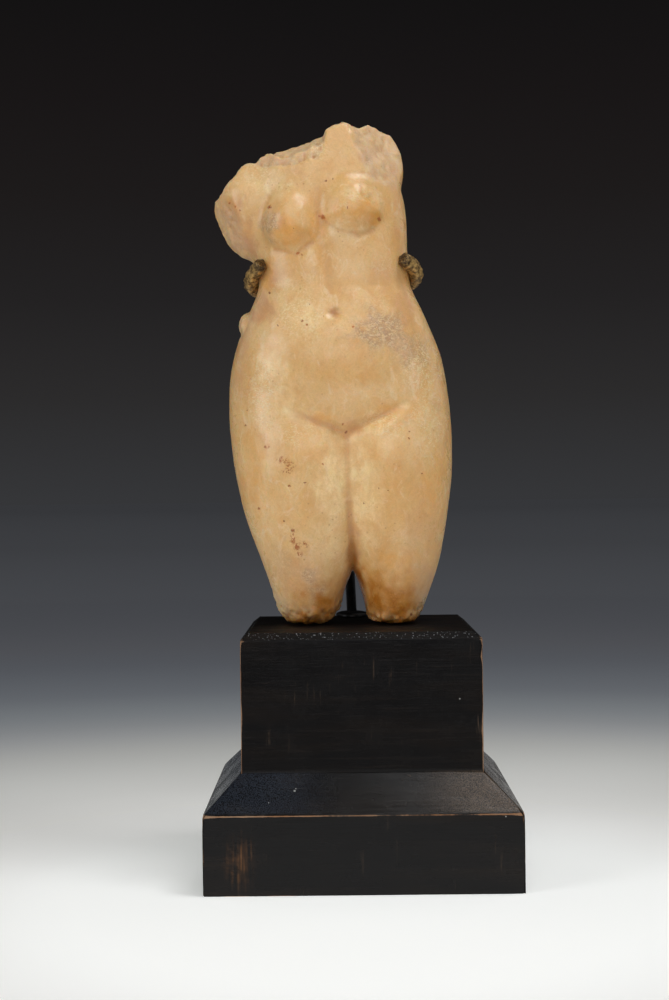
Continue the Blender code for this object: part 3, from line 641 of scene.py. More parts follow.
# Small dark and rusty marks: x, height, radius in hundredths, 0 dark to 1 rusty
stoneSpecks = (
    (-16.9, 81.8, 0.42, 0.3), (-16.6, 81.6, 0.35, 0.2), (-5.8, 86.7, 0.26, 0.2), (-4.4, 87.1, 0.22, 0.3),
    (-17.1, 65.4, 0.26, 0.0), (-11.3, 72.7, 0.42, 1.0), (-10.6, 72.5, 0.22, 0.6), (-6.4, 79.6, 0.50, 0.9),
    (-7.1, 79.9, 0.30, 0.9), (4.5, 79.3, 0.40, 0.8), (-12.1, 77.2, 0.20, 0.2), (-1.6, 81.0, 0.22, 0.3),
    (-10.4, 28.0, 0.24, 0.1), (-19.5, 23.1, 0.30, 0.3), (0.9, 24.0, 0.22, 0.2), (9.8, 37.6, 0.24, 0.4),
    (9.7, 36.4, 0.24, 0.3), (-6.9, 31.6, 0.26, 0.8), (-22.1, 39.3, 0.26, 0.2), (-18.1, 35.0, 0.34, 0.6),
    (-0.8, 57.8, 0.24, 0.8), (-10.6, 59.2, 0.26, 0.5), (-9.7, 58.4, 0.22, 0.6), (-2.4, 37.7, 0.36, 0.0),
    (-3.0, 39.2, 0.22, 0.6), (-15.4, 58.6, 0.20, 0.2), (3.8, 26.8, 0.20, 0.5), (5.6, 26.4, 0.18, 0.5),
    (-13.4, 27.4, 0.22, 0.4), (10.0, 2.0, 0.34, 0.0), (-14.6, 20.6, 0.24, 0.2), (-12.9, 18.8, 0.44, 0.3),
    (-9.2, 62.6, 0.20, 0.3), (12.2, 29.6, 0.18, 0.4), (-6.5, 59.9, 0.18, 0.6), (-21.6, 42.4, 0.20, 0.4),
    (-24.9, 83.4, 0.22, 0.8), (-23.7, 82.6, 0.24, 0.9), (-22.8, 81.7, 0.20, 0.7),
)

# Crusts of rust: x, height, half width, half height
stoneCrusts = ((-14.6, 32.4, 1.3, 0.7), (-13.2, 31.2, 1.0, 1.0), (-14.0, 30.2, 1.3, 0.5),
               (-12.9, 17.2, 0.7, 1.2), (-12.2, 15.4, 0.6, 1.2), (-11.6, 14.2, 0.6, 0.8),
               (-17.6, 35.2, 0.7, 0.4), (-10.8, 16.0, 1.0, 0.7))


def frontSpot(x, height):  # a place on the stone's front, in metres
    return x * hundredth, 0.0, stoneForm["footZ"] + height * hundredth


def stoneMaterial():
    made, tree, shader, place = newMaterial(
        "honeyAlabaster", Subsurface_Weight=0.5, Subsurface_Scale=0.0045,
        Subsurface_Radius=(1.0, 0.50, 0.22), Specular_IOR_Level=0.5, IOR=1.52)
    fresh, amber, blushAndShade, grey, frostHighlight, paintedLight, umberAndShade, hollow = attributesOf(
        tree, "fresh", "amber", "blushAndShade", "grey", "frostHighlight", "paintedLight", "umberAndShade", "hollow")
    clouds = noiseOf(tree, place, 0.022, 4, 0.6, distortion=0.4)
    veins = noiseOf(tree, place, 0.008, 7, 0.72, stretch=(1, 1, 0.75), distortion=0.6)
    scuffs = noiseOf(tree, place, 0.0055, 6, 0.7, stretch=(1, 1, 0.55), distortion=1.2)
    flecks = noiseOf(tree, place, 0.0014, 5, 0.7)
    grain = noiseOf(tree, place, 0.0006, 3, 0.65)
    ripples = noiseOf(tree, place, 0.0013, 2, 0.5, stretch=(1, 1, 1.5), distortion=1.6)
    frostHighlightAndGrey = mathOf(tree, "MAXIMUM", frostHighlight, times(tree, grey, 0.65))
    ripplesAndHighlight = masked(tree, frostHighlightAndGrey, ripples, 0.50, 0.60, 0.0, 0.75)
    porous = times(tree, between(tree, noiseOf(tree, place, 0.013, 2), 0.46, 0.66), 0.5)

    colour = layered(
        tree, blend(tree, between(tree, clouds, 0.35, 0.66), (0.74, 0.450, 0.180), (0.79, 0.530, 0.255)),
        (between(tree, veins, 0.45, 0.70, 0.0, 0.8), (0.69, 0.375, 0.130)),
        (between(tree, scuffs, 0.53, 0.66, 0.0, 0.55), (0.85, 0.640, 0.385)),
        # painted light: the pale cream patches brighten the stone where it is lit
        (masked(tree, paintedLight, scuffs, 0.40, 0.60, 0.35, 0.85), (0.92, 0.690, 0.370)),
        (masked(tree, amber, veins, 0.30, 0.62, 0.50, 1.0), (0.76, 0.375, 0.085)),
        # blush colour: stains, and painted shade on the sides, in the navel and in the grooves
        (masked(tree, blushAndShade, veins, 0.35, 0.60, 0.40, 0.95), (0.62, 0.325, 0.150)),
        (masked(tree, fresh, flecks, 0.38, 0.66, 0.3, 0.85), (0.72, 0.520, 0.330)),
        (masked(tree, grey, flecks, 0.36, 0.60, 0.45, 0.95), (0.49, 0.300, 0.165)),
        # pale ripples: a real texture on the grey patches, a painted highlight on the frost patches
        (ripplesAndHighlight, (0.88, 0.710, 0.420)),
        # painted shade: creases and hollows get a darker, warmer colour
        (between(tree, hollow, 0.03, 0.28, 0.0, 0.75), (0.62, 0.300, 0.105)),
        # umber colour: brown stain, with painted shade under the knees and between the thighs
        (masked(tree, umberAndShade, veins, 0.30, 0.55, 0.55, 1.0), (0.52, 0.185, 0.010)),
        (masked(tree, between(tree, umberAndShade, 0.70, 1.0), flecks, 0.38, 0.62, 0.0, 0.50), (0.32, 0.088, 0.004)),
        # brown specks, pale scuffs and fine dirt in the pores
        (between(tree, flecks, 0.58, 0.74, 0.0, 0.30), (0.54, 0.280, 0.110)),
        (between(tree, flecks, 0.40, 0.26, 0.0, 0.28), (0.88, 0.700, 0.460)),
        (masked(tree, porous, cellsOf(tree, place, 420.0), 0.20, 0.08), (0.46, 0.190, 0.060)),
    )
    level = between(tree, grain, 0.30, 0.70, 0.95, 1.05)
    colour = addNode(tree, "ShaderNodeHueSaturation", {"Color": colour, "Value": level}).outputs["Color"]

    # marks that stay put on the front
    wobble = noiseOf(tree, place, 1 / 900, 2, 0.5, out="Color")
    wobble = vectorOf(tree, "SUBTRACT", wobble, (0.5, 0.5, 0.5))
    spot = vectorOf(tree, "ADD", place, vectorOf(tree, "MULTIPLY", wobble, (0.0014, 0.0, 0.0014)))
    flat = vectorOf(tree, "MULTIPLY", spot, (1, 0, 1))
    front = between(tree, partsOf(tree, place)["Y"], 0.0, -0.004)
    for x, height, radius, rusty in stoneSpecks:
        away = vectorOf(tree, "DISTANCE", flat, frontSpot(x, height), "Value")
        share = between(tree, away, 1.15 * radius * hundredth, 0.40 * radius * hundredth, 0.0, 0.92)
        dark = tuple(a + (b - a) * rusty for a, b in zip((0.24, 0.060, 0.012), (0.50, 0.135, 0.015)))
        colour = blend(tree, times(tree, share, front), colour, dark)
    crusted = between(tree, noiseOf(tree, place, 0.0011, 4, 0.75), 0.49, 0.57)
    for x, height, halfWidth, halfHeight in stoneCrusts:
        offset = vectorOf(tree, "SUBTRACT", spot, frontSpot(x, height))
        size = 1 / (halfWidth * hundredth), 0.0, 1 / (halfHeight * hundredth)
        offset = vectorOf(tree, "MULTIPLY", offset, size)
        away = vectorOf(tree, "LENGTH", offset, (0, 0, 0), "Value")
        share = times(tree, between(tree, away, 1.3, 0.5, 0.0, 0.9), crusted)
        colour = blend(tree, times(tree, share, front), colour, (0.40, 0.105, 0.014))

    gloss = mathOf(tree, "ADD", between(tree, veins, 0.35, 0.65, 0.25, 0.37), times(tree, fresh, 0.14))
    gloss = mathOf(tree, "SUBTRACT", gloss, times(tree, frostHighlight, 0.08))
    normal = bumped(tree,
                    (ripples, mathOf(tree, "ADD", times(tree, ripplesAndHighlight, 0.8), 0.05), 0.0006),
                    (flecks, mathOf(tree, "ADD", times(tree, fresh, 0.55), 0.12), 0.00045),
                    (noiseOf(tree, place, 0.0035, 3), 0.22, 0.0008))
    plugIn(tree, shader, Base_Color=colour, Roughness=gloss, Normal=normal)
    return made


def makeTorso():
    points, faces, normals, rough = stoneSurface()
    print("stone surface:", len(points), "points,", 2 * len(faces), "triangles")
    relief, fresh, onBand, onLeftArm, onRightArm, onKnees = fineRelief(points, rough)
    points = points + normals * relief[:, None]
    points[:, 2] = np.maximum(points[:, 2], 0.0)
    mesh = bpy.data.meshes.new("alabasterTorso")
    mesh.from_pydata((points * hundredth + np.array([0, 0, stoneForm["footZ"]])).tolist(), [], faces.tolist())
    writeAttribute(mesh, "fresh", fresh)
    for seed, (name, patches) in enumerate(stonePatches.items()):
        patchShare = patchMask(points, patches, 71 + 5 * seed, 0.25 if name == "umberAndShade" else 0.0)
        if name == "grey":
            patchShare = np.maximum(patchShare, onBand * (0.25 + 0.45 * softNoise(points, 1.5, 87)))
        if name == "blushAndShade":
            patchShare = np.maximum(patchShare, 0.5 * onLeftArm * ease(softNoise(points, 1.3, 88), 0.0, 0.6))
            patchShare = np.maximum(patchShare, 0.8 * onRightArm * ease(softNoise(points, 3.0, 89), -0.7, 0.3))
        if name == "umberAndShade":
            # umber: stain mixed with painted shade on the undersides of the knees, and painted shade in the
            # gap between the thighs
            undersideStainAndShade = ease(softNoise(points, 2.4, 90), -0.9, 0.2) * ease(-points[:, 2], -3.2, -0.4)
            gap = bell(points[:, 0] + 1.0, 3.4) * ease(-points[:, 2], -11.5, -6.0)
            gap = gap * ease(softNoise(points, 1.8, 91), -1.2, 0.2)
            patchShare = np.maximum.reduce([patchShare, onKnees * undersideStainAndShade, gap])
        writeAttribute(mesh, name, patchShare)
    # painted shade: how far each place lies in a hollow, for a darker colour in creases
    creaseShade = np.maximum(hollowness(mesh, 6), 0.5 * hollowness(mesh, 30)) / hundredth
    writeAttribute(mesh, "hollow", creaseShade)
    torso = finishedObject("alabasterTorso", mesh, stoneMaterial())
    dress(torso, "alabaster", "torso")


makeTorso()
print("torso made")


# Black wooden plinth: worn edges are part of the mesh

woodForm = {
    "blockHalf": 0.0430,
    "blockHeight": 0.0900,
    "bevelIn": 0.0030,
    "bevelDown": 0.0024,
    "boardInner": 0.0433,
    "boardOuter": 0.0560,
    "faceHeight": 0.0277,
    "innerHeight": 0.0405,
    "jointGap": 0.0003,
    "edgeLines": (0.0, 0.00012, 0.00026, 0.00042, 0.00062, 0.0009, 0.0013, 0.0019, 0.0027),
    "spacing": 0.0014,
    "radius": 0.00024,
}

# Chips and rubbed places on the edges: x, y, z, reach, extra radius
woodChips = (
    (0.0430, -0.0430, 0.0816, 0.0022, 0.0012), (0.0430, -0.0430, 0.0560, 0.0050, 0.0005),
    (0.0430, -0.0430, 0.0440, 0.0060, 0.0005), (-0.0430, -0.0430, 0.0876, 0.0020, 0.0006),
    (-0.0430, -0.0430, 0.0600, 0.0040, 0.0004), (-0.0262, -0.0405, 0.0892, 0.0016, 0.0007),
    (0.0560, -0.0560, 0.0277, 0.0030, 0.0008), (-0.0560, -0.0560, 0.0277, 0.0030, 0.0006),
    (0.0430, -0.0430, 0.0876, 0.0020, 0.0006), (0.0560, -0.0560, 0.0020, 0.0040, 0.0004),
)


def linesAcross(length):  # shares of a face's width, close together beside its edges
    edge = [d for d in woodForm["edgeLines"] if d < 0.35 * length]
    count = max(1, round((length - 2 * edge[-1]) / woodForm["spacing"]))
    inner = np.linspace(edge[-1], length - edge[-1], count + 1)
    return np.unique(np.concatenate([edge, inner, [length - d for d in edge]]).round(7)) / length


def griddedFace(corners, us, vs):
    a, b, c, d = (np.array(corner) for corner in corners)
    u, v = np.meshgrid(us, vs, indexing="ij")
    u, v = u[..., None], v[..., None]
    points = (a * (1 - u) + b * u) * (1 - v) + (d * (1 - u) + c * u) * v
    index = np.arange(len(us) * len(vs)).reshape(len(us), len(vs))
    quads = np.stack([index[:-1, :-1], index[1:, :-1], index[1:, 1:], index[:-1, 1:]], -1).reshape(-1, 4)
    return points.reshape(-1, 3), quads


def closedSolid(name, patches):
    shape = bmesh.new()
    for points, quads in patches:
        made = [shape.verts.new(p) for p in points]
        for quad in quads:
            shape.faces.new([made[i] for i in quad])
    bmesh.ops.remove_doubles(shape, verts=shape.verts, dist=0.00002)
    bmesh.ops.recalc_face_normals(shape, faces=shape.faces)
    return meshOf(shape, name)


def wearEdges(mesh, planes):  # rounds each edge by a radius that changes from place to place
    points = pointsOf(mesh)
    normals = np.array([n for n, _ in planes], float)
    normals /= np.linalg.norm(normals, axis=1, keepdims=True)
    reach = np.array([n @ np.array(p) for n, (_, p) in zip(normals, planes)])
    uneven = 0.5 * np.maximum(softNoise(points, 0.006, 3), 0)
    uneven += 0.6 * np.maximum(softNoise(points, 0.0022, 4), 0)
    nicked = np.maximum(softNoise(points, 0.0011, 5) - 0.35, 0)
    radius = woodForm["radius"] * (0.60 + 0.8 * uneven + 0.9 * nicked)
    for x, y, z, size, extra in woodChips:
        away = np.linalg.norm(points - np.array([x, y, z]), axis=1)
        radius = radius + extra * bell(away, size)
    radius = radius[:, None]
    before = points @ normals.T - reach
    nextPlane = np.sort(before, axis=1)[:, -2]
    for _ in range(4):
        over = np.maximum(points @ normals.T - reach + radius, 0)
        length = np.maximum(np.linalg.norm(over, axis=1, keepdims=True), 1e-9)
        deepest = (points @ normals.T - reach).max(-1, keepdims=True)
        distance = np.minimum(deepest, -radius) + length
        points = points - distance * (over @ normals) / length
    faceNormal = normals[np.argmax(before, axis=1)]
    ripple = 0.00004 * softNoise(points * np.array([0.25, 1, 1]), 0.0016, 8)
    ripple += 0.00008 * softNoise(points, 0.012, 9)
    points = points + faceNormal * (ripple * ease(-nextPlane, 0.0, 0.002))[:, None]
    points[:, 2] = np.maximum(points[:, 2], 0.0)
    mesh.vertices.foreach_set("co", points.ravel())
    mesh.update()
    return points, -nextPlane, radius[:, 0]


def bareWood(points, edgeAway, radius):  # how far the black is rubbed through
    ragged = 0.35 * softNoise(points, 0.0030, 14) + 0.25 * softNoise(points, 0.0012, 15)
    return np.clip(1.15 * bell(edgeAway, 0.9 * radius + 0.00012) + 0.5 * ragged - 0.15, 0, 1)


def makeBlock(material):
    half, top = woodForm["blockHalf"], woodForm["blockHeight"]
    low, inner = top - woodForm["bevelDown"], half - woodForm["bevelIn"]
    across, upward = linesAcross(2 * half), linesAcross(low)
    slope = linesAcross(math.hypot(woodForm["bevelIn"], woodForm["bevelDown"]))
    square = lambda h, z: [(-h, -h, z), (h, -h, z), (h, h, z), (-h, h, z)]
    foot, shoulder, crown = square(half, 0.0), square(half, low), square(inner, top)
    patches = []
    planes = [((0, 0, 1), (0, 0, top)), ((0, 0, -1), (0, 0, 0))]
    for i in range(4):
        j = (i + 1) % 4
        patches.append(griddedFace((foot[i], foot[j], shoulder[j], shoulder[i]), across, upward))
        patches.append(griddedFace((shoulder[i], shoulder[j], crown[j], crown[i]), across, slope))
        out = np.array([(0, -1, 0), (1, 0, 0), (0, 1, 0), (-1, 0, 0)][i], float)
        planes.append((out, out * half))
        planes.append((out * woodForm["bevelDown"] + np.array([0, 0, woodForm["bevelIn"]]), shoulder[i]))
    patches.append(griddedFace(crown, across, across))
    patches.append(griddedFace(foot, across, across))
    mesh = closedSolid("plinthBlock", patches)
    points, edgeAway, radius = wearEdges(mesh, planes)
    x, y, z = points.T
    corner = bell(np.maximum(np.abs(half - np.abs(x)), np.abs(half - np.abs(y))), 0.003)
    kept = corner * (0.84 + 0.25 * bell(z - 0.050, 0.016) + 0.35 * softNoise(points, 0.010, 17))
    onTop = 0.55 * corner + 0.30 * ease(softNoise(points, 0.008, 18), 0.1, 0.5)
    kept = np.where(z > low - 0.0004, onTop, kept)
    bare = bareWood(points, edgeAway, radius) * kept
    writeAttribute(mesh, "bare", bare)
    writeAttribute(mesh, "turned", np.zeros(len(points)))
    out = np.maximum(np.abs(x), np.abs(y))
    # the block's top bevel, where blisters with painted glints go
    writeAttribute(mesh, "fleck", ease(z, low, low + 0.0002) * ease(out, inner - 0.0001, inner))
    dress(finishedObject("plinthBlock", mesh, material), "ebonised_wood", "plinth_block")


def boardRing():  # the same board set against each side
    tree, start = nodeGroup("boardRing", {"Sides": "Int", "Finish": "Material"})
    places = addNode(tree, "GeometryNodePoints", {"Count": start["Sides"]}).outputs[0]
    index = addNode(tree, "GeometryNodeInputIndex").outputs[0]
    turn = times(tree, index, mathOf(tree, "DIVIDE", 2 * math.pi, start["Sides"]))
    spun = addNode(tree, "ShaderNodeCombineXYZ", {"Z": turn}).outputs[0]
    copies = addNode(tree, "GeometryNodeInstanceOnPoints",
                     {"Points": places, "Instance": start["Geometry"], "Rotation": spun}).outputs[0]
    marked = addNode(tree, "GeometryNodeStoreNamedAttribute",
                     {"Geometry": copies, "Name": "boardIndex", "Value": index},
                     data_type="FLOAT", domain="INSTANCE").outputs[0]
    return finishGroup(tree, marked, start["Finish"])


def makeBoards(material):
    inner, outer, gap = woodForm["boardInner"], woodForm["boardOuter"], woodForm["jointGap"] / math.sqrt(2)
    low, high = woodForm["faceHeight"], woodForm["innerHeight"]
    profile = [(outer, 0.0), (outer, low), (inner, high), (inner, 0.0)]
    ends = [[(side * (out - gap), -out, z) for out, z in profile] for side in (-1, 1)]
    across, upward, slope = (
        linesAcross(length) for length in (2 * outer, low, math.hypot(outer - inner, high - low)))
    patches = []
    for i in range(4):
        j = (i + 1) % 4
        corners = ends[0][i], ends[1][i], ends[1][j], ends[0][j]
        patches.append(griddedFace(corners, across, (upward, slope)[i % 2]))
    for end in ends:
        patches.append(griddedFace(end, upward, slope))
    mesh = closedSolid("footBoards", patches)
    mitre = lambda side: ((side, 1.0, 0.0), (side * (outer - gap), -outer, 0.0))
    planes = [((0, -1, 0), (0, -outer, 0)), ((0, 0, -1), (0, 0, 0)), ((0, 1, 0), (0, -inner, 0)),
              ((0, low - high, outer - inner), (0, -outer, low)), mitre(-1), mitre(1)]
    points, edgeAway, radius = wearEdges(mesh, planes)
    x, y, z = points.T
    onFace = bell(y + outer, 0.0012)
    arris = onFace * bell(z - low, 0.0012)
    upright = onFace * bell(outer - np.abs(x), 0.0015) * (0.55 + 0.4 * softNoise(points, 0.007, 19))
    foot = onFace * bell(z, 0.0012) * 0.8 * ease(softNoise(points, 0.009, 20), 0.0, 0.4)
    rubbed = 0.74 + 0.20 * ease(np.abs(x), 0.035, 0.053) + 0.26 * softNoise(points, 0.009, 21)
    bare = bareWood(points, edgeAway, radius) * np.maximum.reduce([arris * rubbed, upright, foot])
    writeAttribute(mesh, "bare", bare)
    mesh.materials.append(material)
    mesh.shade_smooth()
    made = grown(mesh, boardRing(), "footBoards", {"Sides": 4, "Finish": material})
    index = np.empty(len(made.vertices), np.float32)
    made.attributes["boardIndex"].data.foreach_get("value", index)
    writeAttribute(made, "turned", np.round(index) % 2)
    writeAttribute(made, "fleck", np.zeros(len(index)))
    dress(finishedObject("footBoards", made, material), "ebonised_wood",
          "base_board_front", "base_board_right", "base_board_back", "base_board_left")


# Pale flecks on the black: x, y, z, radius
woodFlecks = ((-0.0240, -0.0486, 0.0352, 0.00050), (-0.0236, -0.0479, 0.0358, 0.00028),
              (0.0493, -0.0560, 0.0269, 0.00030), (0.0347, -0.0430, 0.0662, 0.00032),
              (-0.0330, -0.0520, 0.0317, 0.00026))


def woodMaterial():
    made, tree, shader, place = newMaterial("ebonisedWood")
    turned, bare, fleck = attributesOf(tree, "turned", "bare", "fleck")
    x, y, z = partsOf(tree, place)
    swapped = addNode(tree, "ShaderNodeCombineXYZ", {0: y, 1: x, 2: z}).outputs[0]
    along = addNode(tree, "ShaderNodeMix", {0: turned, 4: place, 5: swapped}, data_type="VECTOR").outputs[1]
    fibres = noiseOf(tree, along, 0.0016, 5, 0.65, stretch=(0.045, 1, 1), distortion=0.15)
    figure = noiseOf(tree, along, 0.010, 4, 0.6, stretch=(0.12, 1, 1), distortion=0.5)
    threads = noiseOf(tree, along, 0.0007, 4, 0.7, stretch=(0.06, 1, 1))
    brushed = noiseOf(tree, place, 0.0011, 3, 0.6, stretch=(1, 1, 0.05))
    patchy = noiseOf(tree, place, 0.018, 4, 0.6)
    fine = noiseOf(tree, place, 0.0006, 3, 0.6)
    dust = noiseOf(tree, place, 0.00035, 3, 0.7)

    # the slope of the boards, and how far a place is from the rubbed one low on the front
    sloping = masked(tree, between(tree, z, 0.0279, 0.0290), z, 0.0412, 0.0402)
    speckledSheen = masked(tree, sloping, dust, 0.40, 0.62)
    offset = vectorOf(tree, "SUBTRACT", place, (-0.0430, -0.0560, 0.0118))
    offset = vectorOf(tree, "MULTIPLY", offset, (165.0, 400.0, 105.0))
    away = vectorOf(tree, "LENGTH", offset, (0, 0, 0), "Value")
    rubbed = masked(tree, between(tree, away, 1.3, 0.2), brushed, 0.40, 0.66)
    crossed = masked(tree, between(tree, away, 1.2, 0.4), fibres, 0.52, 0.66)
    rubbed = mathOf(tree, "MAXIMUM", rubbed, times(tree, crossed, 0.3))
    smudged = masked(tree, rubbed, noiseOf(tree, place, 0.0045, 3, 0.6), 0.36, 0.64, 0.15, 0.75)
    scuffs = masked(tree, between(tree, brushed, 0.60, 0.72), patchy, 0.50, 0.68)
    black = blend(tree, between(tree, figure, 0.40, 0.72), (0.0034, 0.0030, 0.0032), (0.008, 0.0056, 0.0044))
    black = layered(
        tree, black,
        (between(tree, fibres, 0.56, 0.74, 0.0, 0.35), (0.015, 0.0095, 0.0065)),
        (times(tree, scuffs, 0.85), (0.060, 0.040, 0.027)),
        (between(tree, threads, 0.58, 0.74, 0.0, 0.35), (0.022, 0.016, 0.013)),
        # painted sheen on the slope, speckled, standing in for reflected light: bluish on the left, brownish
        # on the right
        (masked(tree, speckledSheen, x, -0.004, -0.034), (0.026, 0.032, 0.044)),
        (masked(tree, speckledSheen, x, 0.016, 0.046), (0.125, 0.088, 0.060)),
        (smudged, (0.120, 0.052, 0.018)),
    )

    # bare wood along the edges, ragged where the paint has gone, then pale flecks, and blisters on the
    # block's top bevel whose pale bluish colour is a painted glint
    ragged = mathOf(tree, "ADD", times(tree, fine, 0.35), times(tree, brushed, 0.35))
    through = between(tree, mathOf(tree, "ADD", bare, ragged), 0.80, 1.02)
    wood = blend(tree, between(tree, patchy, 0.35, 0.65), (0.25, 0.115, 0.048), (0.31, 0.190, 0.115))
    colour = blend(tree, times(tree, through, 0.92), black, wood)
    for *spot, radius in woodFlecks:
        away = vectorOf(tree, "DISTANCE", place, spot, "Value")
        colour = blend(tree, between(tree, away, radius, 0.5 * radius, 0.0, 0.9), colour, (0.34, 0.34, 0.32))
    blistersAndGlints = masked(tree, between(tree, cellsOf(tree, place, 1150.0), 0.34, 0.16), fine, 0.44, 0.58)
    blistersAndGlints = times(tree, blistersAndGlints, fleck)
    colour = blend(tree, times(tree, blistersAndGlints, 0.8), colour, (0.26, 0.270, 0.280))

    gloss = mathOf(tree, "ADD", between(tree, patchy, 0.35, 0.68, 0.17, 0.30),
                   between(tree, fibres, 0.45, 0.75, 0.0, 0.10))
    gloss = mathOf(tree, "SUBTRACT", gloss, times(tree, sloping, 0.06))
    gloss = mathOf(tree, "ADD", gloss, between(tree, z, 0.0868, 0.0880, 0.0, 0.34))
    gloss = mathOf(tree, "ADD", gloss, times(tree, through, 0.2))
    normal = bumped(tree, (fibres, 0.22, 0.0004), (threads, 0.20, 0.0002), (dust, 0.30, 0.00012),
                    (figure, 0.10, 0.0010), (blistersAndGlints, 0.6, 0.0002), (through, -0.25, 0.00012))
    plugIn(tree, shader, Base_Color=colour, Specular_IOR_Level=between(tree, z, 0.0405, 0.0420, 0.20, 0.11),
           Roughness=gloss, Normal=normal)
    return made


blackWood = woodMaterial()
makeBlock(blackWood)
makeBoards(blackWood)
print("plinth made")


# Metal mount

mountForm = {
    "armDiameter": 0.0034,
    "clawDiameter": 0.0050,
    "clearance": 0.00035,
    "backHeight": 65.0,
    "rightClaw": (-116, 71.0, 3.2),   # angle from straight behind, height, lateness of its rise
    "leftClaw": (115, 71.8, 2.0),
    "waist": (-4.5, -0.8),
    "pathPoints": 150,
    "hubOffset": 0.0085,
    "rodDiameter": 0.0040,
    "rodFoot": (-0.0027, 0.0330),
    "footZ": 0.0903,
    "footRadius": 0.0064,
    "footHeight": 0.0022,
    "hubRadius": 0.00385,
    "hubHeight": 0.0100,
    "hubBelow": 0.0075,
    "rodInHub": 0.002,
    "footRim": 0.0008,
}


def cradlePath():
    form = mountForm
    share = np.linspace(-1, 1, form["pathPoints"])
    share = np.sign(share) * (1 - (1 - np.abs(share)) ** 1.25)  # closer together at the tips
    last = np.where(share < 0, -form["rightClaw"][0], form["leftClaw"][0])
    angles = np.radians(share * last)
    tip, lateness = (np.where(share < 0, form["rightClaw"][k], form["leftClaw"][k]) for k in (1, 2))
    share = np.abs(share)
    thick = form["armDiameter"] + (form["clawDiameter"] - form["armDiameter"]) * ease(share, 0.55, 0.85)
    z = form["backHeight"] + (tip - form["backHeight"]) * share**lateness
    room = (thick / 2 + form["clearance"]) / hundredth
    room = room + form["hubOffset"] / hundredth * (1 - ease(share, 0.0, 0.5))
    reach = np.full(len(share), 16.0)
    for _ in range(40):
        x = form["waist"][0] + np.sin(angles) * reach
        y = form["waist"][1] + np.cos(angles) * reach
        reach += 0.6 * (room - wholeBody(x, y, z))
    centre = np.stack([x, y, z], -1) * hundredth + np.array([0, 0, stoneForm["footZ"]])
    run = np.concatenate([[0], np.cumsum(np.linalg.norm(np.diff(centre, axis=0), axis=1))])
    fromEnd = np.minimum(run, run[-1] - run)
    blunt = np.sqrt(1 - 0.72 * (1 - np.minimum(fromEnd / 0.0011, 1)) ** 2.6)
    return centre, thick / 2 * blunt, share


def sweptCradle():  # a round bar along the path, lumpy towards its claws
    tree, start = nodeGroup("sweptCradle", {"Sides": "Int", "Lump height": "Float",
                                            "Lumps to a metre": "Float", "Finish": "Material"})
    read = lambda name: addNode(tree, "GeometryNodeInputNamedAttribute", {"Name": name}, data_type="FLOAT")
    girth, claw = (read(name).outputs[0] for name in ("girth", "claw"))
    path = addNode(tree, "GeometryNodeMeshToCurve", {"Mesh": start["Geometry"]}).outputs[0]
    sized = addNode(tree, "GeometryNodeSetCurveRadius", {"Curve": path, "Radius": girth}).outputs[0]
    ring = addNode(tree, "GeometryNodeCurvePrimitiveCircle", {"Resolution": start["Sides"], "Radius": 1.0})
    swept = addNode(tree, "GeometryNodeCurveToMesh",
                    {"Curve": sized, "Profile Curve": ring.outputs[0], "Fill Caps": True})
    if "Scale" in swept.inputs:
        tree.links.new(addNode(tree, "GeometryNodeInputRadius").outputs[0], swept.inputs["Scale"])
    place = addNode(tree, "GeometryNodeInputPosition").outputs[0]
    lumps = addNode(tree, "ShaderNodeTexNoise",
                    {"Vector": place, "Scale": start["Lumps to a metre"], "Detail": 2.5}).outputs["Fac"]
    height = times(tree, mathOf(tree, "SUBTRACT", lumps, 0.45), start["Lump height"])
    normal = addNode(tree, "GeometryNodeInputNormal").outputs[0]
    offset = addNode(tree, "ShaderNodeVectorMath", {0: normal, "Scale": times(tree, height, claw)},
                     operation="SCALE").outputs[0]
    moved = addNode(tree, "GeometryNodeSetPosition", {"Geometry": swept.outputs[0], "Offset": offset})
    return finishGroup(tree, moved.outputs[0], start["Finish"])


def bronzeMaterial():
    made, tree, shader, place = newMaterial("oliveBronze", Metallic=0.55, Specular_IOR_Level=0.5)
    lumps = noiseOf(tree, place, 0.0016, 4, 0.6)
    pits = noiseOf(tree, place, 0.0006, 3, 0.65)
    tip, = attributesOf(tree, "tip")
    colour = layered(
        tree, blend(tree, between(tree, lumps, 0.35, 0.66), (0.090, 0.048, 0.014), (0.60, 0.370, 0.120)),
        (between(tree, pits, 0.55, 0.75, 0.0, 0.7), (0.78, 0.560, 0.260)),
        (between(tree, pits, 0.42, 0.28, 0.0, 0.8), (0.026, 0.013, 0.005)),
        (masked(tree, tip, pits, 0.62, 0.45, 0.3, 0.95), (0.035, 0.018, 0.007)),
    )
    plugIn(tree, shader, Base_Color=colour, Roughness=between(tree, lumps, 0.3, 0.7, 0.58, 0.30),
           Normal=bumped(tree, (pits, 0.5, 0.0003), (lumps, 0.5, 0.0006)))
    return made


def steelMaterial():
    made, tree, shader, place = newMaterial("blackenedSteel", Metallic=0.8, Specular_IOR_Level=0.4)
    mottle = noiseOf(tree, place, 0.0030, 4, 0.6)
    drawn = noiseOf(tree, place, 0.0008, 3, 0.6, stretch=(1, 1, 0.1))
    colour = layered(
        tree, blend(tree, between(tree, mottle, 0.4, 0.7), (0.010, 0.010, 0.011), (0.026, 0.022, 0.020)),
        (between(tree, drawn, 0.6, 0.75, 0.0, 0.6), (0.050, 0.042, 0.036)),
    )
    plugIn(tree, shader, Base_Color=colour, Roughness=between(tree, mottle, 0.3, 0.7, 0.30, 0.46),
           Normal=bumped(tree, (drawn, 0.2, 0.0002)))
    return made


